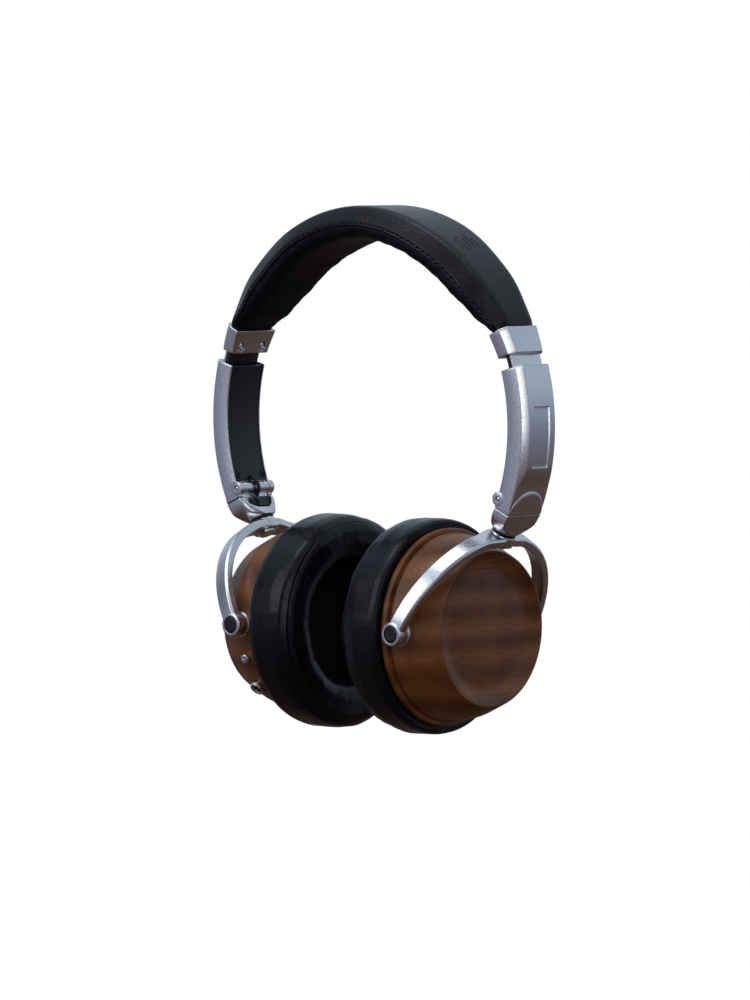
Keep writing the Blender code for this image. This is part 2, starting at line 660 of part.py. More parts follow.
def make_driver(label, side, materials):
    """The speaker behind its baffle: front plate, film, basket, magnet and the cloth over it."""
    origin, axis = cup_axis(side)
    plate = [(BAFFLE_FRONT, DRIVER_R), (BAFFLE_FRONT, BAFFLE_R), (BAFFLE_BACK, BAFFLE_R)]
    plate.append((BAFFLE_BACK, DRIVER_R))
    turned(f"{label}_baffle", origin, axis, plate, 24, materials["plastic"])
    film = [(0.0323, 0), (0.0326, 0.0105), (0.0323, 0.0205), (0.0330, 0.0205), (0.0332, 0.0105), (0.0330, 0)]
    turned(f"{label}_diaphragm", origin, axis, film, 16, materials["film"])
    basket = [(0.0339, 0), (0.0339, 0.0240), (0.0375, 0.0240), (0.0390, 0.0190), (0.0420, 0.0175), (0.0420, 0)]
    turned(f"{label}_driver_basket", origin, axis, basket, 16, materials["plastic"])
    turned(f"{label}_driver_magnet", origin, axis, rod_outline(0.0423, 0.0480, 0.0140), 16, materials["steel"])
    cloth = rod_outline(BAFFLE_FRONT - 0.0010, BAFFLE_FRONT - GAP, PAD_OPENING_R - 0.0005)
    turned(f"{label}_speaker_cloth", origin, axis, cloth, 20, materials["cloth"])


def make_ear_pad(label, side, materials):
    outline = [
        (PAD_FRONT, 0.0300),
        (PAD_FRONT, 0.0368),
        (PAD_FRONT + 0.0013, 0.0398),
        (PAD_FRONT + 0.0045, 0.0418),
        (PAD_FRONT + 0.0085, PAD_R),
        (PAD_BACK - 0.0024, PAD_R),
        (PAD_BACK, 0.0416),
        (PAD_BACK, BAFFLE_R + 0.0004),
        (BAFFLE_FRONT - GAP, BAFFLE_R + 0.0004),
        (BAFFLE_FRONT - GAP, PAD_OPENING_R),
        (PAD_FRONT + 0.0050, PAD_OPENING_R + 0.0003),
        (PAD_FRONT + 0.0013, 0.0262),
    ]
    turned(f"{label}_ear_pad", *cup_axis(side), outline, 36, materials["leather"])


def make_jack(label, side, materials):
    """The 3.5 mm socket in the left cup's wall, and the screw that holds it from outside."""
    if side != LEFT:
        return
    start, out = radial_from_cup(side, JACK_DROP)
    socket = [
        (0.0290, 0),
        (0.0290, 0.0024),
        (0.0374, 0.0024),
        (0.0374, JACK_R),
        (0.0388, JACK_R),
        (0.0388, JACK_BORE_R),
        (0.0300, JACK_BORE_R),
        (0.0300, 0),
    ]
    turned(f"{label}_jack_socket", start, out, socket, 12, materials["steel"])
    start, out = radial_from_cup(side, SIDE_SCREW_DROP)
    screw = [(0.0320, 0), (0.0320, 0.0010), (0.0372, 0.0010), (0.0372, SIDE_SCREW_R)]
    screw += [(0.0379, SIDE_SCREW_R), (0.0383, SIDE_SCREW_R - 0.0006), (0.0383, 0)]
    turned(f"{label}_jack_screw", start, out, screw, 10, materials["steel"])


def moving_stages(side):
    """From the headband to the cup: each joint's name, a point on it, its axis, and what it moves."""
    arm = (make_slider_arm, make_arm_cover, make_hinge_pin, make_hinge_wire)
    bracket = (make_fold_bracket, make_bracket_cover, make_swivel)
    yoke = (make_yoke, make_pivot_plugs)
    cup = (make_wood_cup, make_pivot_screws, make_driver, make_ear_pad, make_jack)
    return [
        ("slider", arc_point(side, 0, 0), AXIS_Y, arm),
        ("fold", pin_centre(side), AXIS_Y, bracket),
        ("swivel", cup_centre(side), neck_axis(side), yoke),
        ("tilt", cup_centre(side), AXIS_Y, cup),
    ]


def joint_empty(name, place, axis):
    """An empty on a joint. Turning it about its own Z moves everything that it carries."""
    empty = bpy.data.objects.new(name, None)
    empty.matrix_basis = Matrix.Translation(place) @ axis.to_track_quat("Z", "Y").to_matrix().to_4x4()
    empty.empty_display_size = 0.01
    bpy.context.scene.collection.objects.link(empty)
    return empty


def carry(carrier, made):
    """Parents an object to a joint's empty, where it already stands."""
    made.parent = carrier
    made.matrix_parent_inverse = carrier.matrix_basis.inverted()


def make_side(label, side, materials):
    make_end_cap(label, side, materials)
    make_slider_strip(label, side, materials)
    carrier = None
    for name, place, axis, makers in moving_stages(side):
        joint = joint_empty(f"{label}_{name}_joint", place, axis)
        if carrier:
            carry(carrier, joint)
        carrier = joint
        earlier = set(bpy.data.objects)
        for make in makers:
            make(label, side, materials)
        for made in [found for found in bpy.data.objects if found not in earlier]:
            carry(carrier, made)


def main():
    clear_scene()
    materials = make_materials()
    make_headband(materials)
    for label, side in SIDES.items():
        make_side(label, side, materials)


main()
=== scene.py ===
"""Looks of the folding over-ear headphones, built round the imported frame.

Metres and degrees. +Z is up, +X is the wearer's right and +Y the wearer's front. "side" is +1 for the right
half and -1 for the left half. The joints' centres and axes come from the frame.
"""

import itertools
import json
from math import atan, atan2, copysign, cos, degrees, hypot, pi, radians, sin, sqrt, tan

import bmesh
import bpy
from mathutils import Matrix, Vector, noise


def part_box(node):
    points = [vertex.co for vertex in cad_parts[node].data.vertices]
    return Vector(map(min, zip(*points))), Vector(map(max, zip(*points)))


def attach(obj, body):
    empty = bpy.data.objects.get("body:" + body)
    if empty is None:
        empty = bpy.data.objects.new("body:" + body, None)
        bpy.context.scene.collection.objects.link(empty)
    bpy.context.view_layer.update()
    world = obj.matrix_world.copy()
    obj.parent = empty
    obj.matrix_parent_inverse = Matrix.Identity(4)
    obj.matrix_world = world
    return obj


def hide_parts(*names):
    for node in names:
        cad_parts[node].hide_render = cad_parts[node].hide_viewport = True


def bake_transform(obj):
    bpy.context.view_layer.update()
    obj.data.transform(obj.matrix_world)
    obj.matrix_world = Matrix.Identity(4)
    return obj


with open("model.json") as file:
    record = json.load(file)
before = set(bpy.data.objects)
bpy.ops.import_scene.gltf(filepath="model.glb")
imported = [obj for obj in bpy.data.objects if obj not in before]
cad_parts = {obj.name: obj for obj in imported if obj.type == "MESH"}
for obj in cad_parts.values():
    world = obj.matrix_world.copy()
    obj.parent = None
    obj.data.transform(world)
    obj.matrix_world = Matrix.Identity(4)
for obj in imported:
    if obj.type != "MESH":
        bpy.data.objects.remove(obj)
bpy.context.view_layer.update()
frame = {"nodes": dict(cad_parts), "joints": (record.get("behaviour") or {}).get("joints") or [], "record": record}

RIGHT, LEFT = 1, -1
SIDES = {"right": RIGHT, "left": LEFT}
ENDS = {"front": 1, "rear": -1}  # along Y
AXIS_Y = Vector((0, 1, 0))
JOINTS = {joint["name"]: joint for joint in frame["joints"]}

# Headband arch: one arc over the crown, and the sliders' wider arc down each side.
CROWN_Z, CROWN_R = -0.0615, 0.0745
ARC_X, ARC_Z = -JOINTS["right_slider"]["pos_m"][0], JOINTS["right_slider"]["pos_m"][2]
ARC_R = CROWN_R + hypot(ARC_X, CROWN_Z - ARC_Z)
CROWN_TURN = degrees(atan2(ARC_X, CROWN_Z - ARC_Z))

# Headband pad, by degrees from the vertical.
PAD_END = 63.0
PAD_TUCK, DRAWN_IN = 1.6, 0.0009  # the last degrees, where the leather is drawn in under the end cap
PAD_HALF_WIDTH = [(0, 0.0175), (25, 0.0172), (45, 0.0150), (PAD_END, 0.0120)]
PAD_THICKNESS = [(0, 0.0130), (25, 0.0137), (44, 0.0143), (54, 0.0128), (PAD_END, 0.0088)]
SEAM_SHARE = 0.56
PAD_FOLD = 0.0042
STITCH_PITCH, STITCH_LENGTH, STITCH_R, STITCH_END = 0.0030, 0.0021, 0.00019, PAD_END - 1.5
PIPING_R = 0.00050

# Pressed mark on the headband: five level bars.
MARK_TURN = 35.0
MARK_BARS = (0.0022, 0.0040, 0.0028, 0.0048, 0.0025)  # half lengths along the arch
MARK_PITCH, MARK_BAR_R, MARK_WALL, MARK_DEPTH = 0.0026, 0.00065, 0.00045, 0.00032

# Slider arc: angles are above the horizontal, radii from the arc's centre.
CAP_TOP, CAP_BOTTOM = 26.7, 19.4
CAP_INNER_R = 0.0776
CAP_HALF_WIDTHS = (0.01135, 0.01025)
CAP_CHAMFER = 0.00265
CAP_SLOT_R = (0.0800, 0.0833)
CAP_SCREW_ANGLE, CAP_SCREW_Y, CAP_SCREW_SINK = 21.4, 0.0062, 0.0010
BAND_R, RAIL_R = (0.0818, 0.0830), (0.0803, 0.0815)
BAND_HALF_WIDTH = 0.0087
BAND_TOP, BAND_BOTTOM = 24.8, -8.0

ARM_TOP, ARM_BOTTOM = 15.9, -24.0
ARM_INNER_R, ARM_SIDE_R = 0.0771, 0.0844
ARM_HALF_WIDTH = 0.00985
ARM_CHAMFER = [(-24.0, 0.00015), (-17.4, 0.0006), (-10.5, 0.0023), (16.0, 0.0023)]
ARM_OUTER_R = ARM_SIDE_R + ARM_CHAMFER[-1][1]
CAVITY_R, CAVITY_HALF_WIDTH, CAVITY_BOTTOM = (0.0740, 0.0837), 0.0092, -19.2
COVER_R = (0.0774, 0.0793)
COVER_SCREW_ANGLE, COVER_SCREW_Y = -17.2, 0.0072
WINDOW_HALF_WIDTH, WINDOW_TOP, WINDOW_BOTTOM = 0.0041, 4.9, -10.8
WINDOW_DEPTH = 0.0006
WINDOW_SLOPE = 0.0010  # how much wider the window is as far above the face as its floor is below
BADGE_R, BADGE_FLOOR, BADGE_TOP = 0.0097, 0.0800, 0.0850
EDGE = 0.00035  # rounding of the metal's edges
WELD = 0.000004  # points this near to each other become one
SHARP_ANGLE = radians(32)  # faces that meet at more than this keep a crisp edge
PARTING_GAP = 0.0003  # between the arm and the bracket
RELIEF = 0.00003  # keeps the faces of two cutters apart

# Fold hinge.
PIN_R, EAR_R, BARREL_R = 0.0010, 0.0028, 0.00235
EAR_INNER_Y, BARREL_OUTER_Y, BARREL_INNER_Y = 0.0075, 0.0071, 0.0011
HINGE_WIRE_R, HINGE_WIRE_BEND = 0.0007, 0.0032

# Neck and yoke: distances along the neck are from the cup's centre.
NECK_R, NECK_BOTTOM = 0.0052, 0.0450
POCKET_LOW, POCKET_HIGH, POCKET_FLOOR, POCKET_FACE = 0.0486, 0.0533, 0.0016, 0.0044
POCKET_HALF_WIDTH = 0.0062
BRACKET_SCREW_Y, BRACKET_SCREW_UP = 0.0040, 0.0507
HUB_BOTTOM, HUB_TOP = 0.0392, 0.0436
YOKE_SIDE_R, YOKE_TOP_R = 0.04070, 0.04160
YOKE_THICKNESS, YOKE_WIDTH = 0.0035, 0.0070
BOSS_R, BOSS_INNER_Y, BOSS_OUTER_Y = 0.0047, 0.0375, 0.0427
PLUG_R, PLUG_FLOOR, PLUG_SEAT = 0.0032, 0.0390, 0.0401

# Cups, from the frame: distances along X from the middle of the head, radii about the cup's axis.
PAD_BOX, CUP_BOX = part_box("right_ear_pad"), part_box("right_wood_cup")
PAD_FRONT, PAD_BACK, PAD_R = PAD_BOX[0].x, PAD_BOX[1].x, PAD_BOX[1].y
CUP_FRONT, DISH_RIM, FLANGE_R = CUP_BOX[0].x, CUP_BOX[1].x, CUP_BOX[1].y
PAD_OPENING_R = 0.0240
PAD_SEAM_X, PAD_SEAM_R = PAD_FRONT + 0.0018, 0.0396
BAFFLE_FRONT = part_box("right_baffle")[0].x
DISH_R, DISH_FLOOR_R, DISH_FLOOR = 0.0305, 0.0236, DISH_RIM - 0.0031
DISH_DOME = 0.0012  # how far the dish's floor bulges
JACK_X, JACK_DROP, JACK_R, JACK_BORE_R = 0.0415, 43.5, 0.0030, 0.0018
JACK_SEAT, JACK_FACE = 0.0372, 0.0388  # from the cup's axis
SIDE_SCREW_DROP, SIDE_SCREW_R = 22.0, 0.0020

# The walnut cup from its dish to its hollow: (X, radius, rounding).
CUP_OUTLINE = [
    (DISH_FLOOR, DISH_FLOOR_R, 0.0060),
    (DISH_FLOOR + 0.0011, DISH_R - 0.0030, 0.0070),
    (DISH_RIM, DISH_R - 0.0007, 0.0004),
    (DISH_RIM - 0.0001, DISH_R, 0.0006),
    (0.0540, 0.0319, 0.0040),
    (0.0465, 0.0353, 0.0200),
    (0.0371, 0.0371, 0.0004),
    (0.0369, 0.0362, 0.0002),
    (0.0361, 0.0362, 0.0002),
    (0.0361, FLANGE_R, 0.0006),
    (CUP_FRONT, FLANGE_R, 0.0003),
    (CUP_FRONT, 0.0334, 0),
    (0.0460, 0.0315, 0),
    (0.0515, 0.0260, 0),
    (0.0515, 0, 0),
]

# The ear pad: sloped soft face, sewn seam near the front, full side wall, rolled back edge.
PAD_OUTLINE = [
    (BAFFLE_FRONT - 0.0003, PAD_OPENING_R, 0),
    (PAD_FRONT + 0.0062, PAD_OPENING_R, 0.0040),
    (PAD_FRONT + 0.0016, 0.0262, 0.0050),
    (PAD_FRONT, 0.0312, 0.0080),
    (PAD_FRONT + 0.0001, 0.0370, 0.0050),
    (PAD_SEAM_X - 0.0003, PAD_SEAM_R - 0.0003, 0.0004),
    (PAD_SEAM_X + 0.0002, PAD_SEAM_R - 0.0011, 0.0002),
    (PAD_SEAM_X + 0.0005, PAD_SEAM_R + 0.0001, 0.0004),
    (PAD_FRONT + 0.0044, 0.0417, 0.0040),
    (PAD_FRONT + 0.0090, PAD_R, 0.0120),
    (PAD_BACK - 0.0030, PAD_R, 0.0030),
    (PAD_BACK - 0.0008, 0.0418, 0.0008),
    (PAD_BACK - 0.0006, 0.0412, 0.0002),
    (PAD_BACK - 0.0003, 0.0415, 0.0003),
    (PAD_BACK, 0.0410, 0.0003),
    (PAD_BACK, 0.0384, 0),
    (BAFFLE_FRONT - 0.0003, 0.0384, 0),
]

# Colours of the wood, from the dark bands to the light ones.
WOOD_TONES = [
    (0.22, (0.070, 0.0220, 0.0060)),
    (0.42, (0.140, 0.0470, 0.0120)),
    (0.60, (0.205, 0.0720, 0.0190)),
    (0.80, (0.290, 0.1120, 0.0340)),
]

LIGHTS_AIM = (0, 0, -0.12)

# Light from all round: (height of the direction, from -1 below to 1 above; colour).
ROOM_IN_FRONT = [
    (-1.0, (0.040, 0.026, 0.018)),
    (-0.70, (0.060, 0.040, 0.030)),
    (-0.36, (0.135, 0.105, 0.105)),
    (-0.06, (0.220, 0.230, 0.335)),
    (0.13, (0.120, 0.135, 0.185)),
    (0.45, (0.110, 0.125, 0.170)),
    (0.72, (0.420, 0.490, 0.590)),
    (1.0, (0.600, 0.680, 0.800)),
]
WALL_BEHIND = [
    (-1.0, (0.040, 0.026, 0.018)),
    (-0.38, (0.100, 0.066, 0.054)),
    (-0.06, (0.185, 0.195, 0.280)),
    (0.20, (0.440, 0.530, 0.620)),
    (0.60, (0.360, 0.425, 0.500)),
    (1.0, (0.720, 0.800, 0.930)),
]


# -------- materials


class Nodes:
    """Builds the nodes of one tree."""

    def __init__(self, tree):
        self.tree = tree

    def add(self, kind, inputs=None, **settings):
        """A new shader node with its settings, and what its inputs take."""
        made = self.tree.nodes.new("ShaderNode" + kind)
        for key, value in settings.items():
            setattr(made, key, value)
        for key, value in (inputs or {}).items():
            self.feed(made.inputs[key], value)
        return made

    def feed(self, entry, value):
        """Gives an input a number, a colour, a vector or the output of another node."""
        if isinstance(value, bpy.types.NodeSocket):
            self.tree.links.new(value, entry)
        elif entry.type == "RGBA":
            entry.default_value = (*value, 1.0)
        else:
            entry.default_value = value

    def ranged(self, value, low, high, to_low, to_high):
        inputs = {"Value": value, "From Min": low, "From Max": high, "To Min": to_low, "To Max": to_high}
        return self.add("MapRange", inputs).outputs["Result"]

    def ramp(self, value, stops):
        made = self.add("ValToRGB", {"Fac": value})
        elements = made.color_ramp.elements
        while len(elements) < len(stops):
            elements.new(0.5)
        for element, (place, colour) in zip(elements, stops):
            element.position = place
            element.color = (*colour, 1.0)
        return made.outputs["Color"]

    def mixed(self, factor, first, second):
        inputs = {0: factor, 6: first, 7: second}  # by number, since the node names them alike
        return self.add("Mix", inputs, data_type="RGBA").outputs[2]


class Finish(Nodes):
    """A Principled material and the nodes that feed it."""

    def __init__(self, name, colour, roughness, metallic=0.0):
        self.material = bpy.data.materials.new(name)
        self.material.use_nodes = True
        super().__init__(self.material.node_tree)
        self.shader = self.tree.nodes["Principled BSDF"]
        self.set(Base_Color=colour, Roughness=roughness, Metallic=metallic)
        self.place = self.add("TexCoord").outputs["Object"]

    def set(self, **values):
        for name, value in values.items():
            self.feed(self.shader.inputs[name.replace("_", " ")], value)

    def stretched(self, scale):
        return self.add("Mapping", {"Vector": self.place, "Scale": scale}).outputs["Vector"]

    def noise(self, scale, detail=2.0, stretch=(1, 1, 1), rough=0.5):
        inputs = {"Vector": self.stretched(stretch), "Scale": scale, "Detail": detail, "Roughness": rough}
        return self.add("TexNoise", inputs).outputs["Fac"]

    def math(self, operation, first, second):
        return self.add("Math", {0: first, 1: second}, operation=operation).outputs["Value"]

    def vary_roughness(self, scale, detail, low, high):
        self.set(Roughness=self.ranged(self.noise(scale, detail), 0.3, 0.7, low, high))

    def bumps(self, *layers, edge=0.0):
        """Stacks (height, depth in metres) bumps over a rounding of the sharp edges."""
        normal = None
        if edge:
            normal = self.add("Bevel", {"Radius": edge}, samples=6).outputs["Normal"]
        for height, depth in layers:
            bump = self.add("Bump", {"Height": height, "Distance": depth})
            if normal:
                self.feed(bump.inputs["Normal"], normal)
            normal = bump.outputs["Normal"]
        self.set(Normal=normal)


def make_leather(name, shine, smooth):
    """Black leather with fine grain, softly uneven."""
    finish = Finish(name, (0.007, 0.008, 0.012), 0.36)
    inputs = {"Vector": finish.place, "Scale": 1150}
    cells = finish.add("TexVoronoi", inputs, feature="DISTANCE_TO_EDGE")
    grain = finish.ranged(cells.outputs["Distance"], 0.0, 0.16, 0.0, 1.0)
    finish.bumps((finish.noise(210, 3), 0.00007), (grain, 0.000022))
    finish.vary_roughness(420, 2, smooth, smooth + 0.08)
    tint = finish.ranged(finish.noise(60, 3), 0.3, 0.7, 0.0, 1.0)
    colour = finish.mixed(tint, (0.0030, 0.0035, 0.0062), (0.0048, 0.0055, 0.0092))
    finish.set(Base_Color=colour, Specular_IOR_Level=shine, Sheen_Weight=0.01)
    return finish


def make_thread():
    finish = Finish("black_thread", (0.012, 0.012, 0.016), 0.6)
    finish.bumps((finish.noise(5200, 2, (1, 1, 3)), 0.00008))
    finish.set(Sheen_Weight=0.3)
    return finish


def make_aluminium():
    """Bead-blasted and clear-anodised."""
    finish = Finish("satin_aluminium", (0.74, 0.75, 0.785), 0.27, 1.0)
    finish.vary_roughness(900, 3, 0.23, 0.31)
    finish.bumps((finish.noise(2600, 2), 0.0000012), edge=0.00028)
    return finish


def make_steel():
    finish = Finish("polished_steel", (0.77, 0.77, 0.775), 0.15, 1.0)
    finish.vary_roughness(700, 3, 0.11, 0.19)
    finish.bumps((finish.noise(3000, 1, (1, 1, 0.05)), 0.000001), edge=0.00012)
    return finish


def make_plastic():
    finish = Finish("black_plastic", (0.007, 0.007, 0.010), 0.42)
    finish.vary_roughness(800, 2, 0.36, 0.50)
    finish.bumps((finish.noise(3600, 2), 0.00003), edge=0.00020)
    return finish


def make_rubber():
    finish = Finish("black_rubber", (0.005, 0.005, 0.007), 0.55)
    finish.vary_roughness(900, 2, 0.48, 0.64)
    finish.bumps((finish.noise(2600, 2), 0.00003), edge=0.00015)
    return finish


def make_walnut():
    """Walnut with the grain along Y, under a satin lacquer."""
    finish = Finish("walnut", (0.115, 0.040, 0.016), 0.36)
    inputs = {"Scale": 26.0, "Distortion": 3.4, "Detail": 3.0, "Detail Scale": 1.3}
    inputs["Vector"] = finish.stretched((0.55, 0.16, 1.0))
    bands = finish.add("TexWave", inputs, wave_type="BANDS", bands_direction="Z")
    bands = finish.math("MULTIPLY", bands.outputs["Fac"], 0.38)
    broad = finish.math("MULTIPLY", finish.noise(60, 3, (0.5, 0.12, 1.0)), 0.62)
    wood = finish.ramp(finish.math("ADD", bands, broad), WOOD_TONES)
    fibre = finish.noise(950, 4, (0.8, 0.030, 1.0), 0.65)
    wood = finish.mixed(finish.ranged(fibre, 0.34, 0.62, 0.55, 0.0), wood, (0.100, 0.028, 0.006))
    pores = finish.ranged(finish.noise(1700, 2, (1.0, 0.045, 1.0)), 0.60, 0.70, 0.0, 0.75)
    wood = finish.mixed(pores, wood, (0.040, 0.012, 0.005))
    # Painted sheen: lighter patches across the grain give the ripple figure's chatoyant shimmer as a fixed lighter
    # colour; the figure is real, its brightness is painted light
    figure_sheen = finish.ranged(finish.noise(75, 2, (0.4, 1.0, 0.35)), 0.35, 0.70, 0.0, 0.20)
    wood = finish.mixed(figure_sheen, wood, (0.380, 0.150, 0.040))
    finish.set(Base_Color=wood, Roughness=finish.ranged(fibre, 0.3, 0.7, 0.44, 0.34))
    finish.bumps((fibre, 0.000020), (finish.math("SUBTRACT", 1.0, pores), 0.00003), edge=0.0003)
    finish.set(Coat_Weight=0.13, Coat_Roughness=0.24, Specular_IOR_Level=0.31)
    return finish


def make_cloth():
    """Woven acoustic cloth."""
    finish = Finish("speaker_cloth", (0.006, 0.006, 0.008), 0.95)
    threads = []
    for direction in ("Y", "Z"):
        inputs = {"Vector": finish.place, "Scale": 330.0}
        wave = finish.add("TexWave", inputs, wave_type="BANDS", bands_direction=direction)
        threads.append(wave.outputs["Fac"])
    weave = finish.math("MULTIPLY", *threads)
    finish.bumps((weave, 0.0001))
    colour = finish.ramp(weave, [(0.1, (0.003, 0.003, 0.004)), (0.7, (0.009, 0.009, 0.011))])
    finish.set(Base_Color=colour, Specular_IOR_Level=0.2)
    return finish


def make_film():
    finish = Finish("driver_film", (0.35, 0.33, 0.28), 0.30)
    finish.bumps((finish.noise(900, 2), 0.00003))
    return finish


FINISHES = {
    "leather": make_leather("black_leather", 0.30, 0.20),
    "cushion_leather": make_leather("cushion_leather", 0.12, 0.42),
    "pad_leather": make_leather("pad_leather", 0.24, 0.12),
    "thread": make_thread(),
    "aluminium": make_aluminium(),
    "steel": make_steel(),
    "plastic": make_plastic(),
    "rubber": make_rubber(),
    "walnut": make_walnut(),
    "cloth": make_cloth(),
    "film": make_film(),
}


# -------- mesh helpers


def rounded(corners, steps, closed=True):
    """An outline of (u, v, radius) corners, each turned into an arc. A radius of 0 stays a point."""
    points = []
    for k, (u, v, radius) in enumerate(corners):
        here = Vector((u, v))
        if radius == 0 or (not closed and k in (0, len(corners) - 1)):
            points.append(here)
            continue
        before = Vector(corners[k - 1][:2]) - here
        after = Vector(corners[(k + 1) % len(corners)][:2]) - here
        half = before.angle(after) / 2
        reach = min(radius / tan(half), 0.49 * before.length, 0.49 * after.length)
        start = here + before.normalized() * reach
        end = here + after.normalized() * reach
        middle = here + (before.normalized() + after.normalized()).normalized() * (reach / cos(half))
        spoke = (start - middle).length
        points += [middle + (start - middle).slerp(end - middle, n / steps) * spoke for n in range(steps + 1)]
    return points


def mirrored(half, steps):
    """A closed outline from the corners of its half with u above 0."""
    return rounded(half + [(-u, v, radius) for u, v, radius in reversed(half)], steps)


def steps_between(first, last, count):
    return [first + (last - first) * k / (count - 1) for k in range(count)]


def value_at(stops, place):
    """A smooth value between (place, value) stops."""
    for (start, low), (end, high) in zip(stops, stops[1:]):
        if place <= end:
            return low + (high - low) * smooth_step(start, end, place)
    return stops[-1][1]


def smooth_step(low, high, value):
    share = min(1.0, max(0.0, (value - low) / (high - low)))
    return share * share * (3 - 2 * share)


def linked(name, data):
    """A new object in the scene."""
    made = bpy.data.objects.new(name, data)
    bpy.context.scene.collection.objects.link(made)
    return made


def add_object(name, tool, finish=None):
    """A new object that takes over a bmesh. Without a finish it is a hidden cutter."""
    bmesh.ops.recalc_face_normals(tool, faces=tool.faces)
    mesh = bpy.data.meshes.new(name)
    tool.to_mesh(mesh)
    tool.free()
    mesh.shade_smooth()
    mesh.set_sharp_from_angle(angle=SHARP_ANGLE)
    made = linked(name, mesh)
    if finish:
        mesh.materials.append(FINISHES[finish].material)
    else:
        made.hide_render = made.hide_viewport = True
    return made


def lofted(name, sections, finish=None):
    """A solid through a row of sections with equal numbers of points, closed at both ends."""
    tool = bmesh.new()
    rings = [[tool.verts.new(point) for point in section] for section in sections]
    count = len(rings[0])
    for ring, following in zip(rings, rings[1:]):
        for k in range(count):
            after = (k + 1) % count
            tool.faces.new((ring[k], ring[after], following[after], following[k]))
    tool.faces.new(rings[0])
    tool.faces.new(rings[-1])
    return add_object(name, tool, finish)


def across(axis):
    """Two directions at right angles to an axis that lies in the YZ or the XZ plane."""
    first = Vector((1, 0, 0)) if abs(axis.x) < 1e-6 else AXIS_Y
    return first, axis.cross(first).normalized()


def turned(name, origin, axis, outline, steps, finish=None):
    """A solid turned from (distance along the axis, radius) points, closed on itself or on the axis."""
    tool = bmesh.new()
    axis = axis.normalized()
    first, second = across(axis)
    spokes = [2 * pi * k / steps for k in range(steps)]
    spokes = [first * cos(t) + second * sin(t) for t in spokes]
    rings = []
    for along, radius in outline:
        centre = origin + axis * along
        if radius < 1e-9:
            rings.append([tool.verts.new(centre)])
        else:
            rings.append([tool.verts.new(centre + spoke * radius) for spoke in spokes])
    pairs = list(zip(rings, rings[1:]))
    if len(rings[0]) > 1 and len(rings[-1]) > 1:
        pairs.append((rings[-1], rings[0]))
    for ring, following in pairs:
        for k in range(steps if len(ring) + len(following) > 2 else 0):
            after = (k + 1) % steps
            corners = [ring[k % len(ring)], ring[after % len(ring)]]
            corners += [following[after % len(following)], following[k % len(following)]]
            tool.faces.new(list(dict.fromkeys(corners)))
    return add_object(name, tool, finish)


def lathed(name, origin, axis, corners, steps, finish=None, arcs=4):
    """A solid turned from (distance along the axis, radius, rounding) corners."""
    return turned(name, origin, axis, rounded(corners, arcs, closed=False), steps, finish)


def rod(name, origin, axis, start, end, radius, steps, finish=None, edge=0.0):
    corners = [(start, 0, 0), (start, radius, edge), (end, radius, edge), (end, 0, 0)]
    return lathed(name, origin, axis, corners, steps, finish, 3)


def block(name, origin, axes, low, high, finish=None):
    """A box between two corners, measured along three directions from an origin."""
    tool = bmesh.new()
    corners = {}
    for corner in itertools.product((0, 1), repeat=3):
        picks = [(low, high)[pick][n] for n, pick in enumerate(corner)]
        place = sum((axis * pick for axis, pick in zip(axes, picks)), origin.copy())
        corners[corner] = tool.verts.new(place)
    for n in range(3):
        for end in (0, 1):
            loop = [(0, 0), (0, 1), (1, 1), (1, 0)]
            tool.faces.new([corners[pair[:n] + (end,) + pair[n:]] for pair in loop])
    return add_object(name, tool, finish)


def shaped(target, operation, *tools):
    """Applies Booleans with hidden tools one by one, and removes the tools."""
    for tool in tools:
        tool.hide_viewport = False
        boolean = target.modifiers.new("shape", "BOOLEAN")
        boolean.operation = operation
        boolean.object = tool
        graph = bpy.context.evaluated_depsgraph_get()
        mesh = bpy.data.meshes.new_from_object(target.evaluated_get(graph))
        target.modifiers.clear()
        target.data = mesh
        bpy.data.objects.remove(tool)
        cleaned = bmesh.new()
        cleaned.from_mesh(mesh)
        bmesh.ops.remove_doubles(cleaned, verts=cleaned.verts, dist=WELD)
        bmesh.ops.dissolve_degenerate(cleaned, edges=cleaned.edges, dist=WELD)
        cleaned.to_mesh(mesh)
        cleaned.free()
    target.data.shade_smooth()
    target.data.set_sharp_from_angle(angle=SHARP_ANGLE)
    return target


def ruffled(target, amount, scale, stretch, fade):
    """Moves the points along their normals by smooth noise, as far as fade(point) lets them."""
    shift = []
    for vertex in target.data.vertices:
        place = Vector(c * s for c, s in zip(vertex.co, stretch)) * scale
        shift.append(vertex.normal * (noise.noise(place) * amount * fade(vertex.co)))
    for vertex, move in zip(target.data.vertices, shift):
        vertex.co += move


def placed(piece, body, slot, *nodes):
    """Puts a piece on its body, in place of the CAD nodes that it stands for."""
    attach(piece, body)
    if nodes:
        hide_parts(*nodes)


# -------- headband


def arch_point(turn, depth, y):
    """A point under the arch's outer surface, at degrees from the vertical towards +X."""
    angle = radians(turn)
    outward = Vector((sin(angle), 0, cos(angle)))
    if abs(turn) <= CROWN_TURN:
        centre, radius = Vector((0, y, CROWN_Z)), CROWN_R
    else:
        centre, radius = Vector((-copysign(ARC_X, turn), y, ARC_Z)), ARC_R
    return centre + outward * (radius - depth)


def seam_depth(turn):
    return value_at(PAD_THICKNESS, abs(turn)) * SEAM_SHARE


def tuck(turn):
    """How far the leather is drawn in at its ends, from 0 to 1."""
    return smooth_step(PAD_END - PAD_TUCK, PAD_END, abs(turn))


def pad_width(turn):
    """Half the pad's width."""
    return value_at(PAD_HALF_WIDTH, abs(turn)) - DRAWN_IN * tuck(turn)


def mark_depth(turn, y):
    """Depth of the pressed bars at a point of the outer surface."""
    along = radians(turn - MARK_TURN) * ARC_R
    deepest = 0.0
    for k, half in enumerate(MARK_BARS):
        off = y - (k - (len(MARK_BARS) - 1) / 2) * MARK_PITCH
        beyond = max(0.0, abs(along) - half)
        distance = hypot(beyond, off) - MARK_BAR_R
        deepest = max(deepest, 1 - smooth_step(-MARK_WALL / 2, MARK_WALL / 2, distance))
    return deepest * MARK_DEPTH


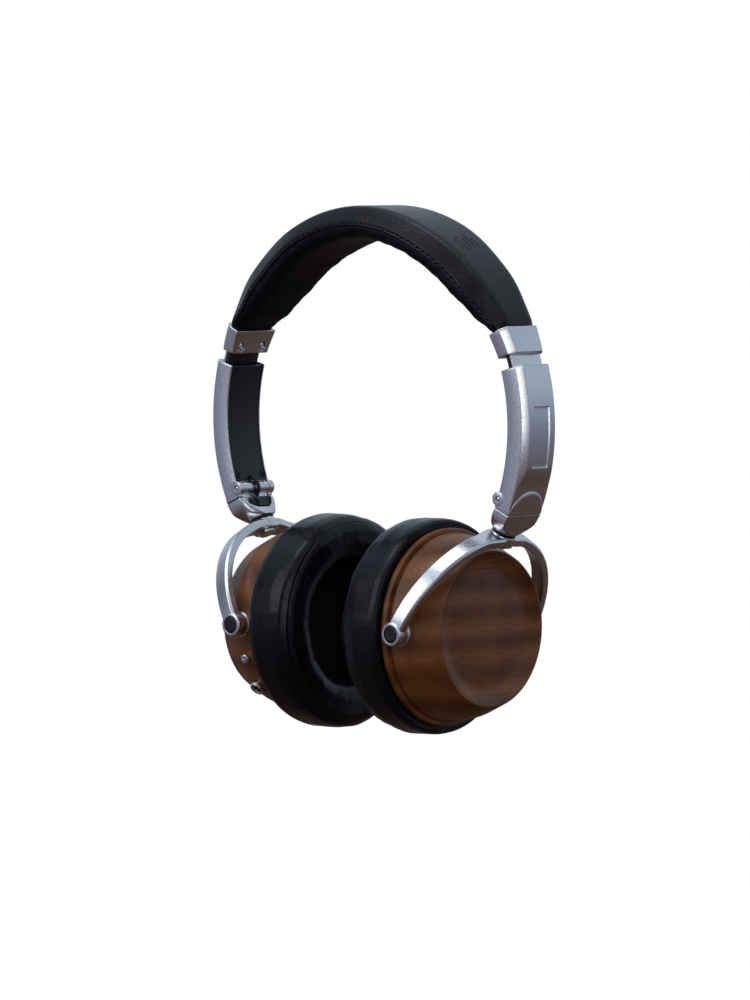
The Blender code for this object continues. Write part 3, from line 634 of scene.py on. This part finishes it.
def cover_section(turn):
    """Leather cover: level top, soft folded bevels, side walls down to the seam."""
    width, seam, top = pad_width(turn), seam_depth(turn), 0.0003 * tuck(turn)
    flat_edge = width - 0.0065
    half = [
        (0.0, seam, 0),
        (width - 0.0008, seam, 0.0006),
        (width + 0.0001, seam - 0.0012, 0.0011),
        (width - PAD_FOLD, top + 0.0003, 0.0026),
        (flat_edge, top, 0),
    ]
    half = rounded(half, 5, closed=False)
    flat = [(y, top + mark_depth(turn, y)) for y in steps_between(flat_edge, -flat_edge, 52)[1:-1]]
    left = [(-y, depth) for y, depth in reversed(half[1:])]
    return half + flat + left


def cushion_section(turn):
    """Leather cushion under the seam: full sides and a gently crowned face."""
    width, seam = pad_width(turn), seam_depth(turn)
    bottom = value_at(PAD_THICKNESS, abs(turn)) - 0.0003 * tuck(turn)
    half = [
        (0.0, seam - 0.0003, 0),
        (width - 0.0012, seam - 0.0003, 0.0005),
        (width + 0.0001, seam + 0.0010, 0.0012),
        (width - 0.0003, bottom - 0.0024, 0.0028),
        (width - 0.0034, bottom - 0.0003, 0.0060),
        (width - 0.0085, bottom, 0.0100),
        (0.0, bottom + 0.0001, 0),
    ]
    half = rounded(half, 6, closed=False)
    return half + [(-y, depth) for y, depth in reversed(half[1:-1])]


def arch_turns():
    """Rows along the arch, closer together across the pressed mark and at the drawn-in ends."""
    turns, turn = [], -PAD_END
    while turn < PAD_END - 0.01:
        turns.append(turn)
        near_mark = abs(turn - MARK_TURN) < 4.6
        turn += 0.22 if near_mark else 0.4 if PAD_END - abs(turn) < 2.2 else 0.85
    return turns + [PAD_END]


def arch_solid(name, section, turns, finish):
    sections = [[arch_point(turn, depth, y) for y, depth in section(turn)] for turn in turns]
    return lofted(name, sections, finish)


def seam_line(turn, y_sign, out, above):
    """A point at the seam, moved out and up from it."""
    return arch_point(turn, seam_depth(turn) - above, y_sign * (pad_width(turn) + out))


def tube(name, points, radius, finish, sides):
    """A round tube through points, closed at both ends. radius is a number, or one for each point."""
    radii = radius if isinstance(radius, list) else [radius] * len(points)
    sections = []
    first = None
    for k, point in enumerate(points):
        along = (points[min(k + 1, len(points) - 1)] - points[max(k - 1, 0)]).normalized()
        first = first or along.orthogonal()
        first = (first - along * first.dot(along)).normalized()
        second = along.cross(first)
        turns = [2 * pi * n / sides for n in range(sides)]
        sections.append([point + (first * cos(t) + second * sin(t)) * radii[k] for t in turns])
    return lofted(name, sections, finish)


def joined(name, parts, finish):
    """Several meshes as one object."""
    tool = bmesh.new()
    for part in parts:
        tool.from_mesh(part.data)
        bpy.data.objects.remove(part)
    return add_object(name, tool, finish)


def make_stitches(label, y_sign):
    """A row of stitches whose ends sink into the leather."""
    count = int(2 * radians(STITCH_END) * ARC_R / STITCH_PITCH)
    step = 2 * STITCH_END / count
    half = degrees(STITCH_LENGTH / 2 / ARC_R)
    parts = []
    for k in range(count):
        turn = -STITCH_END + (k + 0.5) * step
        points, radii = [], []
        for share in (-1.0, -0.75, -0.3, 0.3, 0.75, 1.0):
            out, above = 0.00008 - 0.00022 * abs(share) ** 3, 0.00068 + 0.0001 * share
            points.append(seam_line(turn + half * share, y_sign, out, above))
            radii.append(STITCH_R * sqrt(1 - 0.8 * share * share))
        parts.append(tube("stitch", points, radii, "thread", 6))
    return joined(f"headband_stitches_{label}", parts, "thread")


def make_headband():
    turns = arch_turns()
    cover = arch_solid("headband_leather_cover", cover_section, turns, "leather")
    placed(cover, "headband", "leather", "headband_cover")

    def below_seam(point):
        return smooth_step(0.0, 0.012, PAD_END - abs(degrees(atan2(point.x, point.z - ARC_Z))))

    cushion = arch_solid("headband_leather_cushion", cushion_section, turns, "cushion_leather")
    ruffled(cushion, 0.00035, 260, (1.0, 0.25, 1.0), below_seam)
    placed(cushion, "headband", "leather", "headband_cushion")
    for label, y_sign in ENDS.items():
        turns = steps_between(1 - PAD_END, PAD_END - 1, 150)
        line = [seam_line(turn, y_sign, -0.0001, -0.0001) for turn in turns]
        piping = tube(f"headband_piping_{label}", line, PIPING_R, "leather", 10)
        placed(piping, "headband", "leather")
        placed(make_stitches(label, y_sign), "headband", "leather")


# -------- sliders and arms


def arc_outward(side, angle):
    turn = radians(angle)
    return Vector((side * cos(turn), 0, sin(turn)))


def arc_point(side, radius, angle, y=0.0):
    return Vector((-side * ARC_X, y, ARC_Z)) + arc_outward(side, angle) * radius


def round_ends(top, bottom, edge, spacing):
    """(angle, inset) pairs along the arc, with the ends drawn in to round their edges."""
    reach = degrees(edge / ARC_R)
    ends = [radians(90 * k / 4) for k in range(4)]
    start = [(top - reach * (1 - cos(t)), edge * (1 - sin(t))) for t in ends]
    count = max(2, round((top - bottom - 2 * reach) / spacing) + 1)
    middle = [(angle, 0.0) for angle in steps_between(top - reach, bottom + reach, count)]
    return start + middle + [(top + bottom - angle, inset) for angle, inset in reversed(start)]


def arc_solid(name, side, section, top, bottom, finish, edge, spacing=0.8):
    """A solid along the slider arc. section(angle, inset) lists its (y, radius) points."""
    sections = []
    for angle, inset in round_ends(top, bottom, edge, spacing):
        sections.append([arc_point(side, radius, angle, y) for y, radius in section(angle, inset)])
    return lofted(name, sections, finish)


def bar_section(half_width, inner, outer, edge):
    """A rectangular section with rounded corners."""

    def section(_angle, inset):
        w, low, high = half_width - inset, inner + inset, outer - inset
        return mirrored([(w, low, edge), (w, high, edge)], 3)

    return section


def chamfered_points(half_width, inner, outer, chamfer, inset):
    """A section with two bevelled outer corners."""
    w, low, high = half_width - inset, inner + inset, outer - inset
    soft = min(EDGE, 0.45 * chamfer)
    return mirrored([(w, low, EDGE), (w, high - chamfer, soft), (w - chamfer, high, soft)], 3)


def make_end_cap(label, side):
    def section(angle, inset):
        share = (CAP_TOP - angle) / (CAP_TOP - CAP_BOTTOM)
        wide, narrow = CAP_HALF_WIDTHS
        half_width = wide + (narrow - wide) * share
        return chamfered_points(half_width, CAP_INNER_R, ARC_R, CAP_CHAMFER, inset)

    cap = arc_solid(f"{label}_cap_shell", side, section, CAP_TOP, CAP_BOTTOM, "aluminium", 0.0003)
    slot = bar_section(0.0090, *CAP_SLOT_R, 0.0004)
    tools = [arc_solid("slot", side, slot, CAP_BOTTOM + 2.2, CAP_BOTTOM - 1, None, 0.0001)]
    rim, seat = CAP_INNER_R, CAP_INNER_R + CAP_SCREW_SINK
    sink = [(rim - 0.001, 0), (rim - 0.001, 0.0021), (rim, 0.0021)]
    sink += [(rim + 0.0006, 0.0018), (seat, 0.0018), (seat, 0)]
    outward = arc_outward(side, CAP_SCREW_ANGLE)
    middles = front_and_rear(arc_point(side, 0, 0), CAP_SCREW_Y)
    tools += [turned("sink", middle, outward, sink, 28) for middle in middles]
    shaped(cap, "DIFFERENCE", *tools)
    placed(cap, "headband", "aluminium", f"{label}_end_cap")
    seats = [middle + outward * seat for middle in middles]
    make_screws(f"{label}_cap", "headband", seats, -outward, (0.0016, 0.0009), "steel")


def make_screw(name, place, out, radius, height, finish):
    """A domed screw head with a cross recess, pointing out from the middle of its seat."""
    corners = [(-0.0004, 0, 0), (-0.0004, radius, 0), (height * 0.45, radius, 0.00018)]
    corners += [(height, radius * 0.45, 0.0012), (height, 0, 0)]
    head = lathed(name, place, out, corners, 32, finish)
    first, second = across(out.normalized())
    width = radius * 0.15
    tools = []
    for one, other in ((first, second), (second, first)):
        low, high = (-radius * 0.6, -width, height * 0.35), (radius * 0.6, width, height * 1.6)
        tools.append(block("cross", place, (one, other, out.normalized()), low, high))
    return shaped(head, "DIFFERENCE", *tools)


def front_and_rear(place, spread):
    return [place + AXIS_Y * (spread * y_sign) for y_sign in ENDS.values()]


def make_screws(name, body, seats, out, size, finish, in_cad=True):
    """A screw head on the front seat and on the rear one. size is its radius and height.

    in_cad says whether CAD nodes of the same name and ends stand there too, which it then replaces.
    """
    for end, seat in zip(ENDS, seats):
        head = make_screw(f"{name}_screwhead_{end}", seat, out, *size, finish)
        placed(head, body, "steel", *([f"{name}_screw_{end}"] if in_cad else []))


def make_slider_strip(label, side):
    """The steel strip that the arm slides on, and the black rail behind it."""
    for name, node, radii, edge, finish in (
        ("strip", "slider_band", BAND_R, 0.0004, "steel"),
        ("rail", "slider_rail", RAIL_R, 0.0003, "plastic"),
    ):
        section = bar_section(BAND_HALF_WIDTH, *radii, edge)
        strip = arc_solid(f"{label}_{name}", side, section, BAND_TOP, BAND_BOTTOM, finish, 0.0003)
        placed(strip, "headband", finish, f"{label}_{node}")


def joint(side, name, key):
    return Vector(JOINTS[("right_" if side > 0 else "left_") + name][key])


def pin_centre(side):
    return joint(side, "fold", "pos_m")


def hinge_frame(side):
    """Directions at the fold hinge: outwards, along the pin, and up along the arm."""
    outward = (pin_centre(side) - arc_point(side, 0, 0)).normalized()
    return outward, AXIS_Y, Vector((-outward.z * side, 0, outward.x * side))


def make_badge(name, side):
    """The arm's half of the round badge at the parting line."""
    outward = arc_outward(side, ARM_BOTTOM)
    along = AXIS_Y.cross(outward) * (-side)
    centre = arc_point(side, 0, 0)
    top = BADGE_TOP + 0.0002
    corners = [(BADGE_FLOOR, 0, 0), (BADGE_FLOOR, BADGE_R, 0), (BADGE_TOP - 0.0002, BADGE_R, 0.0003)]
    corners += [(top, BADGE_R - 0.0010, 0.0006), (top, 0.0040, 0.0060), (top + 0.0001, 0, 0)]
    badge = lathed(name, centre, outward, corners, 96, "aluminium")
    keep = block("keep", centre, (outward, AXIS_Y, along), (0.07, -0.02, 0.0), (0.09, 0.02, 0.03))
    return shaped(badge, "INTERSECT", keep)


def make_arm(label, side):
    body = f"{label}_arm"

    def section(angle, inset):
        chamfer = value_at(ARM_CHAMFER, angle)
        return chamfered_points(ARM_HALF_WIDTH, ARM_INNER_R, ARM_SIDE_R + chamfer, chamfer, inset)

    def window(_angle, inset):
        low, high = ARM_OUTER_R - WINDOW_DEPTH + inset, ARM_OUTER_R + WINDOW_DEPTH - inset
        narrow, wide = WINDOW_HALF_WIDTH - inset, WINDOW_HALF_WIDTH + WINDOW_SLOPE - inset
        return mirrored([(narrow, low, 0.0002), (wide, high, 0.0001)], 3)

    arm = arc_solid(f"{label}_arm_shell", side, section, ARM_TOP, ARM_BOTTOM, "aluminium", 0.0003, 0.6)
    centre = pin_centre(side)
    for y_sign in ENDS.values():
        start, end = sorted((y_sign * EAR_INNER_Y, y_sign * (ARM_HALF_WIDTH + 0.0001)))
        shaped(arm, "UNION", rod("ear", centre, AXIS_Y, start, end, EAR_R, 48, None, 0.0003))
    cavity = bar_section(CAVITY_HALF_WIDTH, *CAVITY_R, 0.0005)
    room, notch_y = BARREL_R + 0.00035, BARREL_OUTER_Y + 0.0003
    notch_low = (-0.006, -notch_y - RELIEF, -0.008)
    notch_high = (room - RELIEF, notch_y + RELIEF, 0.0)
    shaped(
        arm,
        "DIFFERENCE",
        rod("pin_hole", centre, AXIS_Y, -0.02, 0.02, PIN_R + 0.0001, 32),
        rod("room", centre, AXIS_Y, -notch_y, notch_y, room, 40),
        block("notch", centre, hinge_frame(side), notch_low, notch_high),
        arc_solid("cavity", side, cavity, ARM_TOP + 1, CAVITY_BOTTOM, None, 0.0005),
        arc_solid("window", side, window, WINDOW_TOP, WINDOW_BOTTOM, None, 0.0002),
    )
    placed(arm, body, "aluminium", f"{label}_slider_arm")
    placed(make_badge(f"{label}_arm_badge", side), body, "aluminium")
    make_pin(label, side)
    make_arm_cover(label, side)


def make_pin(label, side):
    """The hinge pin with its domed ends, and a thin washer at each ear."""
    centre, tip, radius = pin_centre(side), ARM_HALF_WIDTH + 0.0001, PIN_R - 0.00004
    corners = [(-tip, 0, 0), (-tip + 0.0002, radius, 0.0004), (tip - 0.0002, radius, 0.0004), (tip, 0, 0)]
    pin = lathed(f"{label}_pin", centre, AXIS_Y, corners, 28, "steel")
    placed(pin, f"{label}_arm", "steel", f"{label}_hinge_pin")
    for end, y_sign in ENDS.items():
        near, far = sorted((y_sign * (BARREL_OUTER_Y + 0.00005), y_sign * (EAR_INNER_Y - 0.00005)))
        name = f"{label}_pin_washer_{end}"
        placed(rod(name, centre, AXIS_Y, near, far, 0.0021, 36, "steel", 0.0001), f"{label}_arm", "steel")


def make_arm_cover(label, side):
    cover_bar = bar_section(CAVITY_HALF_WIDTH - 0.0002, *COVER_R, 0.0004)
    top, bottom = ARM_TOP - 0.3, CAVITY_BOTTOM + 0.2
    cover = arc_solid(f"{label}_arm_lining", side, cover_bar, top, bottom, "plastic", 0.0004)
    outward = arc_outward(side, COVER_SCREW_ANGLE)
    seat = COVER_R[0] + 0.0005
    middles = front_and_rear(arc_point(side, 0, 0), COVER_SCREW_Y)
    for middle in middles:
        shaped(cover, "DIFFERENCE", rod("sink", middle, outward, 0.070, seat, 0.0016, 28))
    placed(cover, f"{label}_arm", "plastic", f"{label}_arm_cover")
    seats = [middle + outward * seat for middle in middles]
    make_screws(f"{label}_cover", f"{label}_arm", seats, -outward, (0.0014, 0.0008), "rubber")


# -------- brackets


def cup_centre(side):
    return joint(side, "tilt", "pos_m")


def neck_axis(side):
    return joint(side, "swivel", "axis").normalized()


def neck_inward(side):
    """At right angles to the neck, towards the head."""
    axis = neck_axis(side)
    return Vector((-side * axis.z, 0, side * axis.x))


def bracket_sections(side):
    """From the arm's section at the parting line, with a level outer face, down to the round neck."""
    top_angle = ARM_BOTTOM - degrees(PARTING_GAP / ARM_INNER_R)
    top = arc_point(side, (ARM_INNER_R + BADGE_TOP) / 2, top_angle)
    bottom = cup_centre(side) + neck_axis(side) * NECK_BOTTOM
    top_out, neck_out = arc_outward(side, top_angle), -neck_inward(side)
    narrowing = 1 - (NECK_R / ARM_HALF_WIDTH) ** 2
    top_depth = (BADGE_TOP - ARM_INNER_R) / 2
    sections = []
    for share in [0.0, 0.008, 0.02] + steps_between(0.05, 1.0, 30):
        inset = 0.0003 * (1 - smooth_step(0.0, 0.02, share))
        centre = top.lerp(bottom, share)
        outward = top_out.lerp(neck_out, share).normalized()
        width = ARM_HALF_WIDTH * sqrt(1 - share**2.8 * narrowing) - inset
        depth = top_depth + (NECK_R - top_depth) * smooth_step(0.0, 1.0, share) - inset
        outer = 0.0004 + (NECK_R - 0.0004) * smooth_step(0.45, 1.0, share)
        inner = 0.0008 + (NECK_R - 0.0008) * smooth_step(0.0, 0.85, share)
        corners = [(depth, width, outer), (depth, -width, outer)]
        corners += [(-depth, -width, inner), (-depth, width, inner)]
        sections.append([centre + outward * u + AXIS_Y * v for u, v in rounded(corners, 9)])
    return sections


def make_bracket(label, side):
    body = f"{label}_bracket"
    bracket = lofted(f"{label}_bracket_shell", bracket_sections(side), "aluminium")
    centre, axes = pin_centre(side), hinge_frame(side)
    for y_sign in ENDS.values():
        start, end = sorted((y_sign * BARREL_INNER_Y, y_sign * BARREL_OUTER_Y))
        shaped(bracket, "UNION", block("web", centre, axes, (0.0, start, -0.0060), (BARREL_R, end, 0.0)))
    slot_low, slot_high = (-0.004, -BARREL_INNER_Y, -0.0062), (BARREL_R + 0.0003, BARREL_INNER_Y, 0.004)
    neck = (neck_inward(side), AXIS_Y, neck_axis(side))
    stud_start, stud_end = NECK_BOTTOM - 0.001, NECK_BOTTOM + 0.003
    shaped(
        bracket,
        "DIFFERENCE",
        rod("pin_hole", centre, AXIS_Y, -0.02, 0.02, PIN_R + 0.0001, 28),
        block("slot", centre, axes, slot_low, slot_high),
        pocket("pocket", side, neck, 0.0, 0.012),
        rod("stud", cup_centre(side), neck_axis(side), stud_start, stud_end, 0.0021, 28),
    )
    placed(bracket, body, "aluminium", f"{label}_fold_bracket")
    for end, y_sign in ENDS.items():
        name = f"{label}_barrel_{end}"
        placed(turned(name, centre, AXIS_Y * y_sign, barrel_outline(), 56, "aluminium"), body, "aluminium")
    make_bracket_cover(label, side, neck)


def barrel_outline():
    """A knuckle of the fold hinge, with two fine grooves near its outer end."""
    radius, groove = BARREL_R, 0.00022
    corners = [(BARREL_INNER_Y, PIN_R, 0), (BARREL_INNER_Y, radius, 0.0003)]
    for start in (BARREL_OUTER_Y - 0.0018, BARREL_OUTER_Y - 0.0010):
        corners += [(start, radius, 0.00006), (start + 0.0001, radius - groove, 0.00004)]
        corners += [(start + 0.0003, radius - groove, 0.00004), (start + 0.0004, radius, 0.00006)]
    corners += [(BARREL_OUTER_Y, radius, 0.0002), (BARREL_OUTER_Y, PIN_R, 0)]
    return rounded(corners, 3, closed=False)


def pocket(name, side, axes, spare, face, finish=None):
    """A rounded D-shaped block in the bracket's inner side, narrower towards the neck."""
    w = POCKET_HALF_WIDTH - spare
    low, high = POCKET_LOW + spare, POCKET_HIGH - spare
    middle = (low + high) / 2
    ring = mirrored([(w, high, 0.0016), (w * 0.94, middle, 0.002), (w * 0.55, low, 0.0014)], 5)
    inward, along_y, up = axes
    levels = [(POCKET_FLOOR + spare, 0.0), (face, 0.0)]
    if finish:
        levels[1:] = [(face - 0.0004, 0.0), (face, 0.0004)]
    sections = []
    for depth, inset in levels:
        start, scale = cup_centre(side) + inward * depth, 1 - inset / w
        row = [(y * scale, middle + (z - middle) * scale) for y, z in ring]
        sections.append([start + along_y * y + up * z for y, z in row])
    return lofted(name, sections, finish)


def make_bracket_cover(label, side, axes):
    cover = pocket(f"{label}_bracket_lining", side, axes, 0.00025, POCKET_FACE, "plastic")
    inward, _, up = axes
    seat = POCKET_FACE - 0.0007
    middles = front_and_rear(cup_centre(side) + up * BRACKET_SCREW_UP, BRACKET_SCREW_Y)
    for middle in middles:
        shaped(cover, "DIFFERENCE", rod("sink", middle, inward, seat, 0.012, 0.0015, 28))
    body = f"{label}_bracket"
    placed(cover, body, "plastic", f"{label}_bracket_cover")
    seats = [middle + inward * seat for middle in middles]
    make_screws(body, body, seats, inward, (0.0013, 0.0007), "rubber", in_cad=False)


def make_hinge_wire(label, side):
    """The signal wire, from the arm's lining over the hinge into the bracket's lining."""
    outward, _, upward = hinge_frame(side)
    centre = pin_centre(side)
    turns = [radians(turn) for turn in steps_between(150, 232, 12)]
    bend = [(HINGE_WIRE_BEND * cos(t), HINGE_WIRE_BEND * sin(t)) for t in turns]
    places = [(0.0012, 0.0054), (-0.0012, 0.0040), *bend, (-0.0006, -0.0042), (0.0008, -0.0058)]
    path = smooth_path([centre + outward * out + upward * up for out, up in places], 4)
    wire = tube(f"{label}_signal_wire", path, HINGE_WIRE_R, "rubber", 12)
    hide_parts(f"{label}_hinge_wire")
    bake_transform(wire)


def smooth_path(points, steps):
    """Points along a smooth curve through the given ones."""
    path = []
    row = [points[0], *points, points[-1]]
    for a, b, c, d in zip(row, row[1:], row[2:], row[3:]):
        for t in (n / steps for n in range(steps)):
            bends = (2 * a - 5 * b + 4 * c - d) * t * t + (3 * b - a - 3 * c + d) * t**3
            path.append(0.5 * (2 * b + (c - a) * t + bends))
    return path + [points[-1]]


# -------- yokes


def yoke_sections(side):
    """Flat band bent into an arch over the cup, in the plane of the pivots and the neck."""
    centre, axis = cup_centre(side), neck_axis(side)
    flat = neck_inward(side)
    sections = []
    for turn in steps_between(3, 177, 88):
        bend = radians(turn)
        radius = YOKE_SIDE_R + (YOKE_TOP_R - YOKE_SIDE_R) * sin(bend) ** 2
        spoke = axis * sin(bend) - AXIS_Y * cos(bend)
        inner, outer = radius - YOKE_THICKNESS / 2, radius + YOKE_THICKNESS / 2
        half = YOKE_WIDTH / 2 + 0.0012 * (1 - smooth_step(6, 16, abs(turn - 90)))
        corners = [(half, inner, 0.0003), (half, outer - 0.0008, 0.0003), (half - 0.0008, outer, 0.0006)]
        sections.append([centre + spoke * r + flat * w for w, r in mirrored(corners, 4)])
    return sections


def make_yoke(label, side):
    body = f"{label}_yoke"
    centre, axis = cup_centre(side), neck_axis(side)
    yoke = lofted(f"{label}_yoke_band", yoke_sections(side), "aluminium")
    hub = [(HUB_BOTTOM, 0, 0), (HUB_BOTTOM, NECK_R, 0.0003), (HUB_TOP - 0.0008, NECK_R, 0.0006)]
    hub += [(HUB_TOP, NECK_R - 0.0003, 0.0002), (HUB_TOP, 0, 0)]
    shaped(yoke, "UNION", lathed("hub", centre, axis, hub, 64))
    boss = [(BOSS_INNER_Y, 0, 0), (BOSS_INNER_Y, BOSS_R, 0.0002), (BOSS_OUTER_Y - 0.0002, BOSS_R, 0.0005)]
    boss += [(BOSS_OUTER_Y, BOSS_R - 0.0008, 0.0003), (BOSS_OUTER_Y, 0, 0)]
    hole_r = PLUG_R + 0.0002
    sink = [(PLUG_FLOOR, 0), (PLUG_FLOOR, hole_r), (0.05, hole_r), (0.05, 0)]
    for y_sign in ENDS.values():
        shaped(yoke, "UNION", lathed("boss", centre, AXIS_Y * y_sign, boss, 56))
        shaped(yoke, "DIFFERENCE", turned("sink", centre, AXIS_Y * y_sign, sink, 48))
    placed(yoke, body, "aluminium", f"{label}_yoke")
    plug = [(PLUG_SEAT, 0, 0), (PLUG_SEAT, PLUG_R, 0), (BOSS_OUTER_Y - 0.0002, PLUG_R, 0.0003)]
    plug += [(BOSS_OUTER_Y + 0.0001, PLUG_R - 0.0008, 0.0005), (BOSS_OUTER_Y - 0.0001, 0, 0)]
    for end, y_sign in ENDS.items():
        made = lathed(f"{label}_plug_{end}", centre, AXIS_Y * y_sign, plug, 48, "rubber")
        placed(made, body, "rubber", f"{label}_pivot_plug_{end}")


# -------- cups


def cup_axis(side):
    return Vector((0, 0, cup_centre(side).z)), Vector((side, 0, 0))


def through_left_wall(drop):
    """Start and direction of a hole through the left cup's wall, at degrees below the rear side."""
    turn = radians(drop)
    return Vector((-JACK_X, 0, cup_centre(LEFT).z)), Vector((0, -cos(turn), -sin(turn)))


def make_wood_cup(label, side):
    body = f"{label}_cup"
    rings = steps_between(0, 0.020, 5)
    dome = [(DISH_FLOOR + DISH_DOME * (1 - (r / DISH_FLOOR_R) ** 2), r, 0.05) for r in rings]
    cup = lathed(f"{label}_walnut_cup", *cup_axis(side), dome + CUP_OUTLINE, 180, "walnut", 6)
    if side == LEFT:
        start, out = through_left_wall(JACK_DROP)
        shaped(cup, "DIFFERENCE", rod("jack_hole", start, out, 0.028, 0.05, JACK_R - 0.0002, 32))
    placed(cup, body, "walnut", f"{label}_wood_cup")
    face = BOSS_INNER_Y - 0.0001
    corners = [(0.0360, 0, 0), (0.0360, 0.0050, 0), (face, 0.0050, 0.0002), (face, 0, 0)]
    for end, y_sign in ENDS.items():
        name, out = f"{label}_pivot_washer_{end}", AXIS_Y * y_sign
        placed(lathed(name, cup_centre(side), out, corners, 48, "aluminium", 3), body, "aluminium")


def make_ear_pad(label, side):
    pad = turned(f"{label}_leather_pad", *cup_axis(side), rounded(PAD_OUTLINE, 7), 220, "pad_leather")

    def soft_part(point):
        return 1 - smooth_step(PAD_BACK - 0.006, PAD_BACK - 0.001, abs(point.x))

    ruffled(pad, 0.00045, 95, (1.6, 1.0, 1.0), soft_part)
    ruffled(pad, 0.00016, 420, (0.6, 1.0, 1.0), soft_part)
    placed(pad, f"{label}_cup", "leather", f"{label}_ear_pad")


def make_speaker_cloth(label, side):
    front, rim = BAFFLE_FRONT - 0.0013, PAD_OPENING_R + 0.0004
    corners = [(front - 0.0004, 0, 0), (front, 0.0160, 0.02), (front + 0.0002, rim, 0)]
    corners += [(front + 0.0007, rim, 0), (front + 0.0007, 0, 0)]
    cloth = lathed(f"{label}_cloth", *cup_axis(side), corners, 96, "cloth", 6)
    placed(cloth, f"{label}_cup", "cloth", f"{label}_speaker_cloth")


def make_jack():
    start, out = through_left_wall(JACK_DROP)
    corners = [(0.0290, 0, 0), (0.0290, 0.0024, 0), (JACK_SEAT, 0.0024, 0), (JACK_SEAT, JACK_R, 0)]
    corners += [(JACK_FACE, JACK_R, 0.0003), (JACK_FACE, JACK_BORE_R, 0.0003)]
    corners += [(0.0310, JACK_BORE_R, 0), (0.0310, 0, 0)]
    socket = lathed("left_jack_collar", start, out, corners, 48, "steel")
    placed(socket, "left_cup", "steel", "left_jack_socket")
    start, out = through_left_wall(SIDE_SCREW_DROP)
    head = make_screw("left_side_screwhead", start + out * JACK_SEAT, out, SIDE_SCREW_R, 0.0011, "steel")
    placed(head, "left_cup", "steel", "left_jack_screw")


# -------- stage


def repaint_frame():
    """Gives the CAD nodes that stay in view the finish of their slot."""
    for entry in frame["record"]["subparts"]:
        mesh = frame["nodes"][entry["node"]].data
        mesh.materials.clear()
        mesh.materials.append(FINISHES[entry["material_slot"]].material)


def make_camera():
    """Long lens from the wearer's front right, a little above the cups."""
    distance, azimuth, height = 2.264, radians(41.5), 0.019
    pitch, roll = radians(90 - 3.086), radians(-0.4)
    aim = azimuth + atan(0.00104)
    lens = bpy.data.cameras.new("camera")
    lens.sensor_fit = "VERTICAL"
    lens.sensor_height = 36.0
    lens.lens = 207.0
    lens.clip_start = 0.1
    lens.clip_end = 10.0
    camera = linked("camera", lens)
    place = Matrix.Translation((distance * sin(azimuth), -distance * cos(azimuth), height))
    for angle, axis in ((aim, "Z"), (pitch, "X"), (roll, "Z")):
        place = place @ Matrix.Rotation(angle, 4, axis)
    camera.matrix_world = place
    bpy.context.scene.camera = camera


def soft_light(name, place, size, power, colour=(1, 1, 1)):
    data = bpy.data.lights.new(name, "AREA")
    data.shape = "RECTANGLE"
    data.size, data.size_y = size
    data.energy = power
    data.color = colour
    turn = (Vector(LIGHTS_AIM) - Vector(place)).to_track_quat("-Z", "Y")
    linked(name, data).matrix_world = Matrix.Translation(place) @ turn.to_matrix().to_4x4()


def make_backdrop():
    """A white backdrop all round. Only the camera sees it, so it neither lights nor mirrors."""
    tool = bmesh.new()
    bmesh.ops.create_icosphere(tool, subdivisions=3, radius=6.0)
    backdrop = add_object("backdrop", tool)
    backdrop.hide_render = backdrop.hide_viewport = False
    for ray in ("diffuse", "glossy", "transmission", "shadow"):
        setattr(backdrop, f"visible_{ray}", False)
    material = bpy.data.materials.new("white_backdrop")
    material.use_nodes = True
    material.node_tree.nodes.clear()
    nodes = Nodes(material.node_tree)
    glow = nodes.add("Emission")
    nodes.add("OutputMaterial", {"Surface": glow.outputs["Emission"]})
    backdrop.data.materials.append(material)


def make_surroundings():
    """A studio's soft light: a darker room in front, a pale wall behind, dark and warm below."""
    world = bpy.data.worlds.new("studio")
    bpy.context.scene.world = world
    world.use_nodes = True
    sky = Nodes(world.node_tree)
    direction = sky.add("TexCoord").outputs["Generated"]
    split = sky.add("SeparateXYZ", {"Vector": direction})
    height = sky.ranged(split.outputs["Z"], -1.0, 1.0, 0.0, 1.0)
    behind = sky.ranged(split.outputs["Y"], -0.35, 0.35, 0.0, 1.0)
    front, back = (
        sky.ramp(height, [((up + 1) / 2, colour) for up, colour in stops])
        for stops in (ROOM_IN_FRONT, WALL_BEHIND)
    )
    sky.feed(world.node_tree.nodes["Background"].inputs["Color"], sky.mixed(behind, front, back))


def make_lights():
    make_surroundings()
    soft_light("window", (-0.46, -1.03, 0.43), (0.70, 0.90), 3.4, (1.0, 0.98, 1.0))
    soft_light("near_camera", (0.84, -0.82, 0.20), (0.32, 0.84), 1.60)
    soft_light("overhead", (-0.05, -0.30, 1.0), (0.6, 0.5), 2.2)
    bpy.context.scene.view_settings.view_transform = "Standard"


def main():
    repaint_frame()
    make_camera()
    make_headband()
    fixed_and_arm = (make_end_cap, make_slider_strip, make_arm)
    hinge_and_yoke = (make_bracket, make_hinge_wire, make_yoke)
    cup = (make_wood_cup, make_ear_pad, make_speaker_cloth)
    for label, side in SIDES.items():
        for make_piece in fixed_and_arm + hinge_and_yoke + cup:
            make_piece(label, side)
    make_jack()
    make_backdrop()
    make_lights()


main()
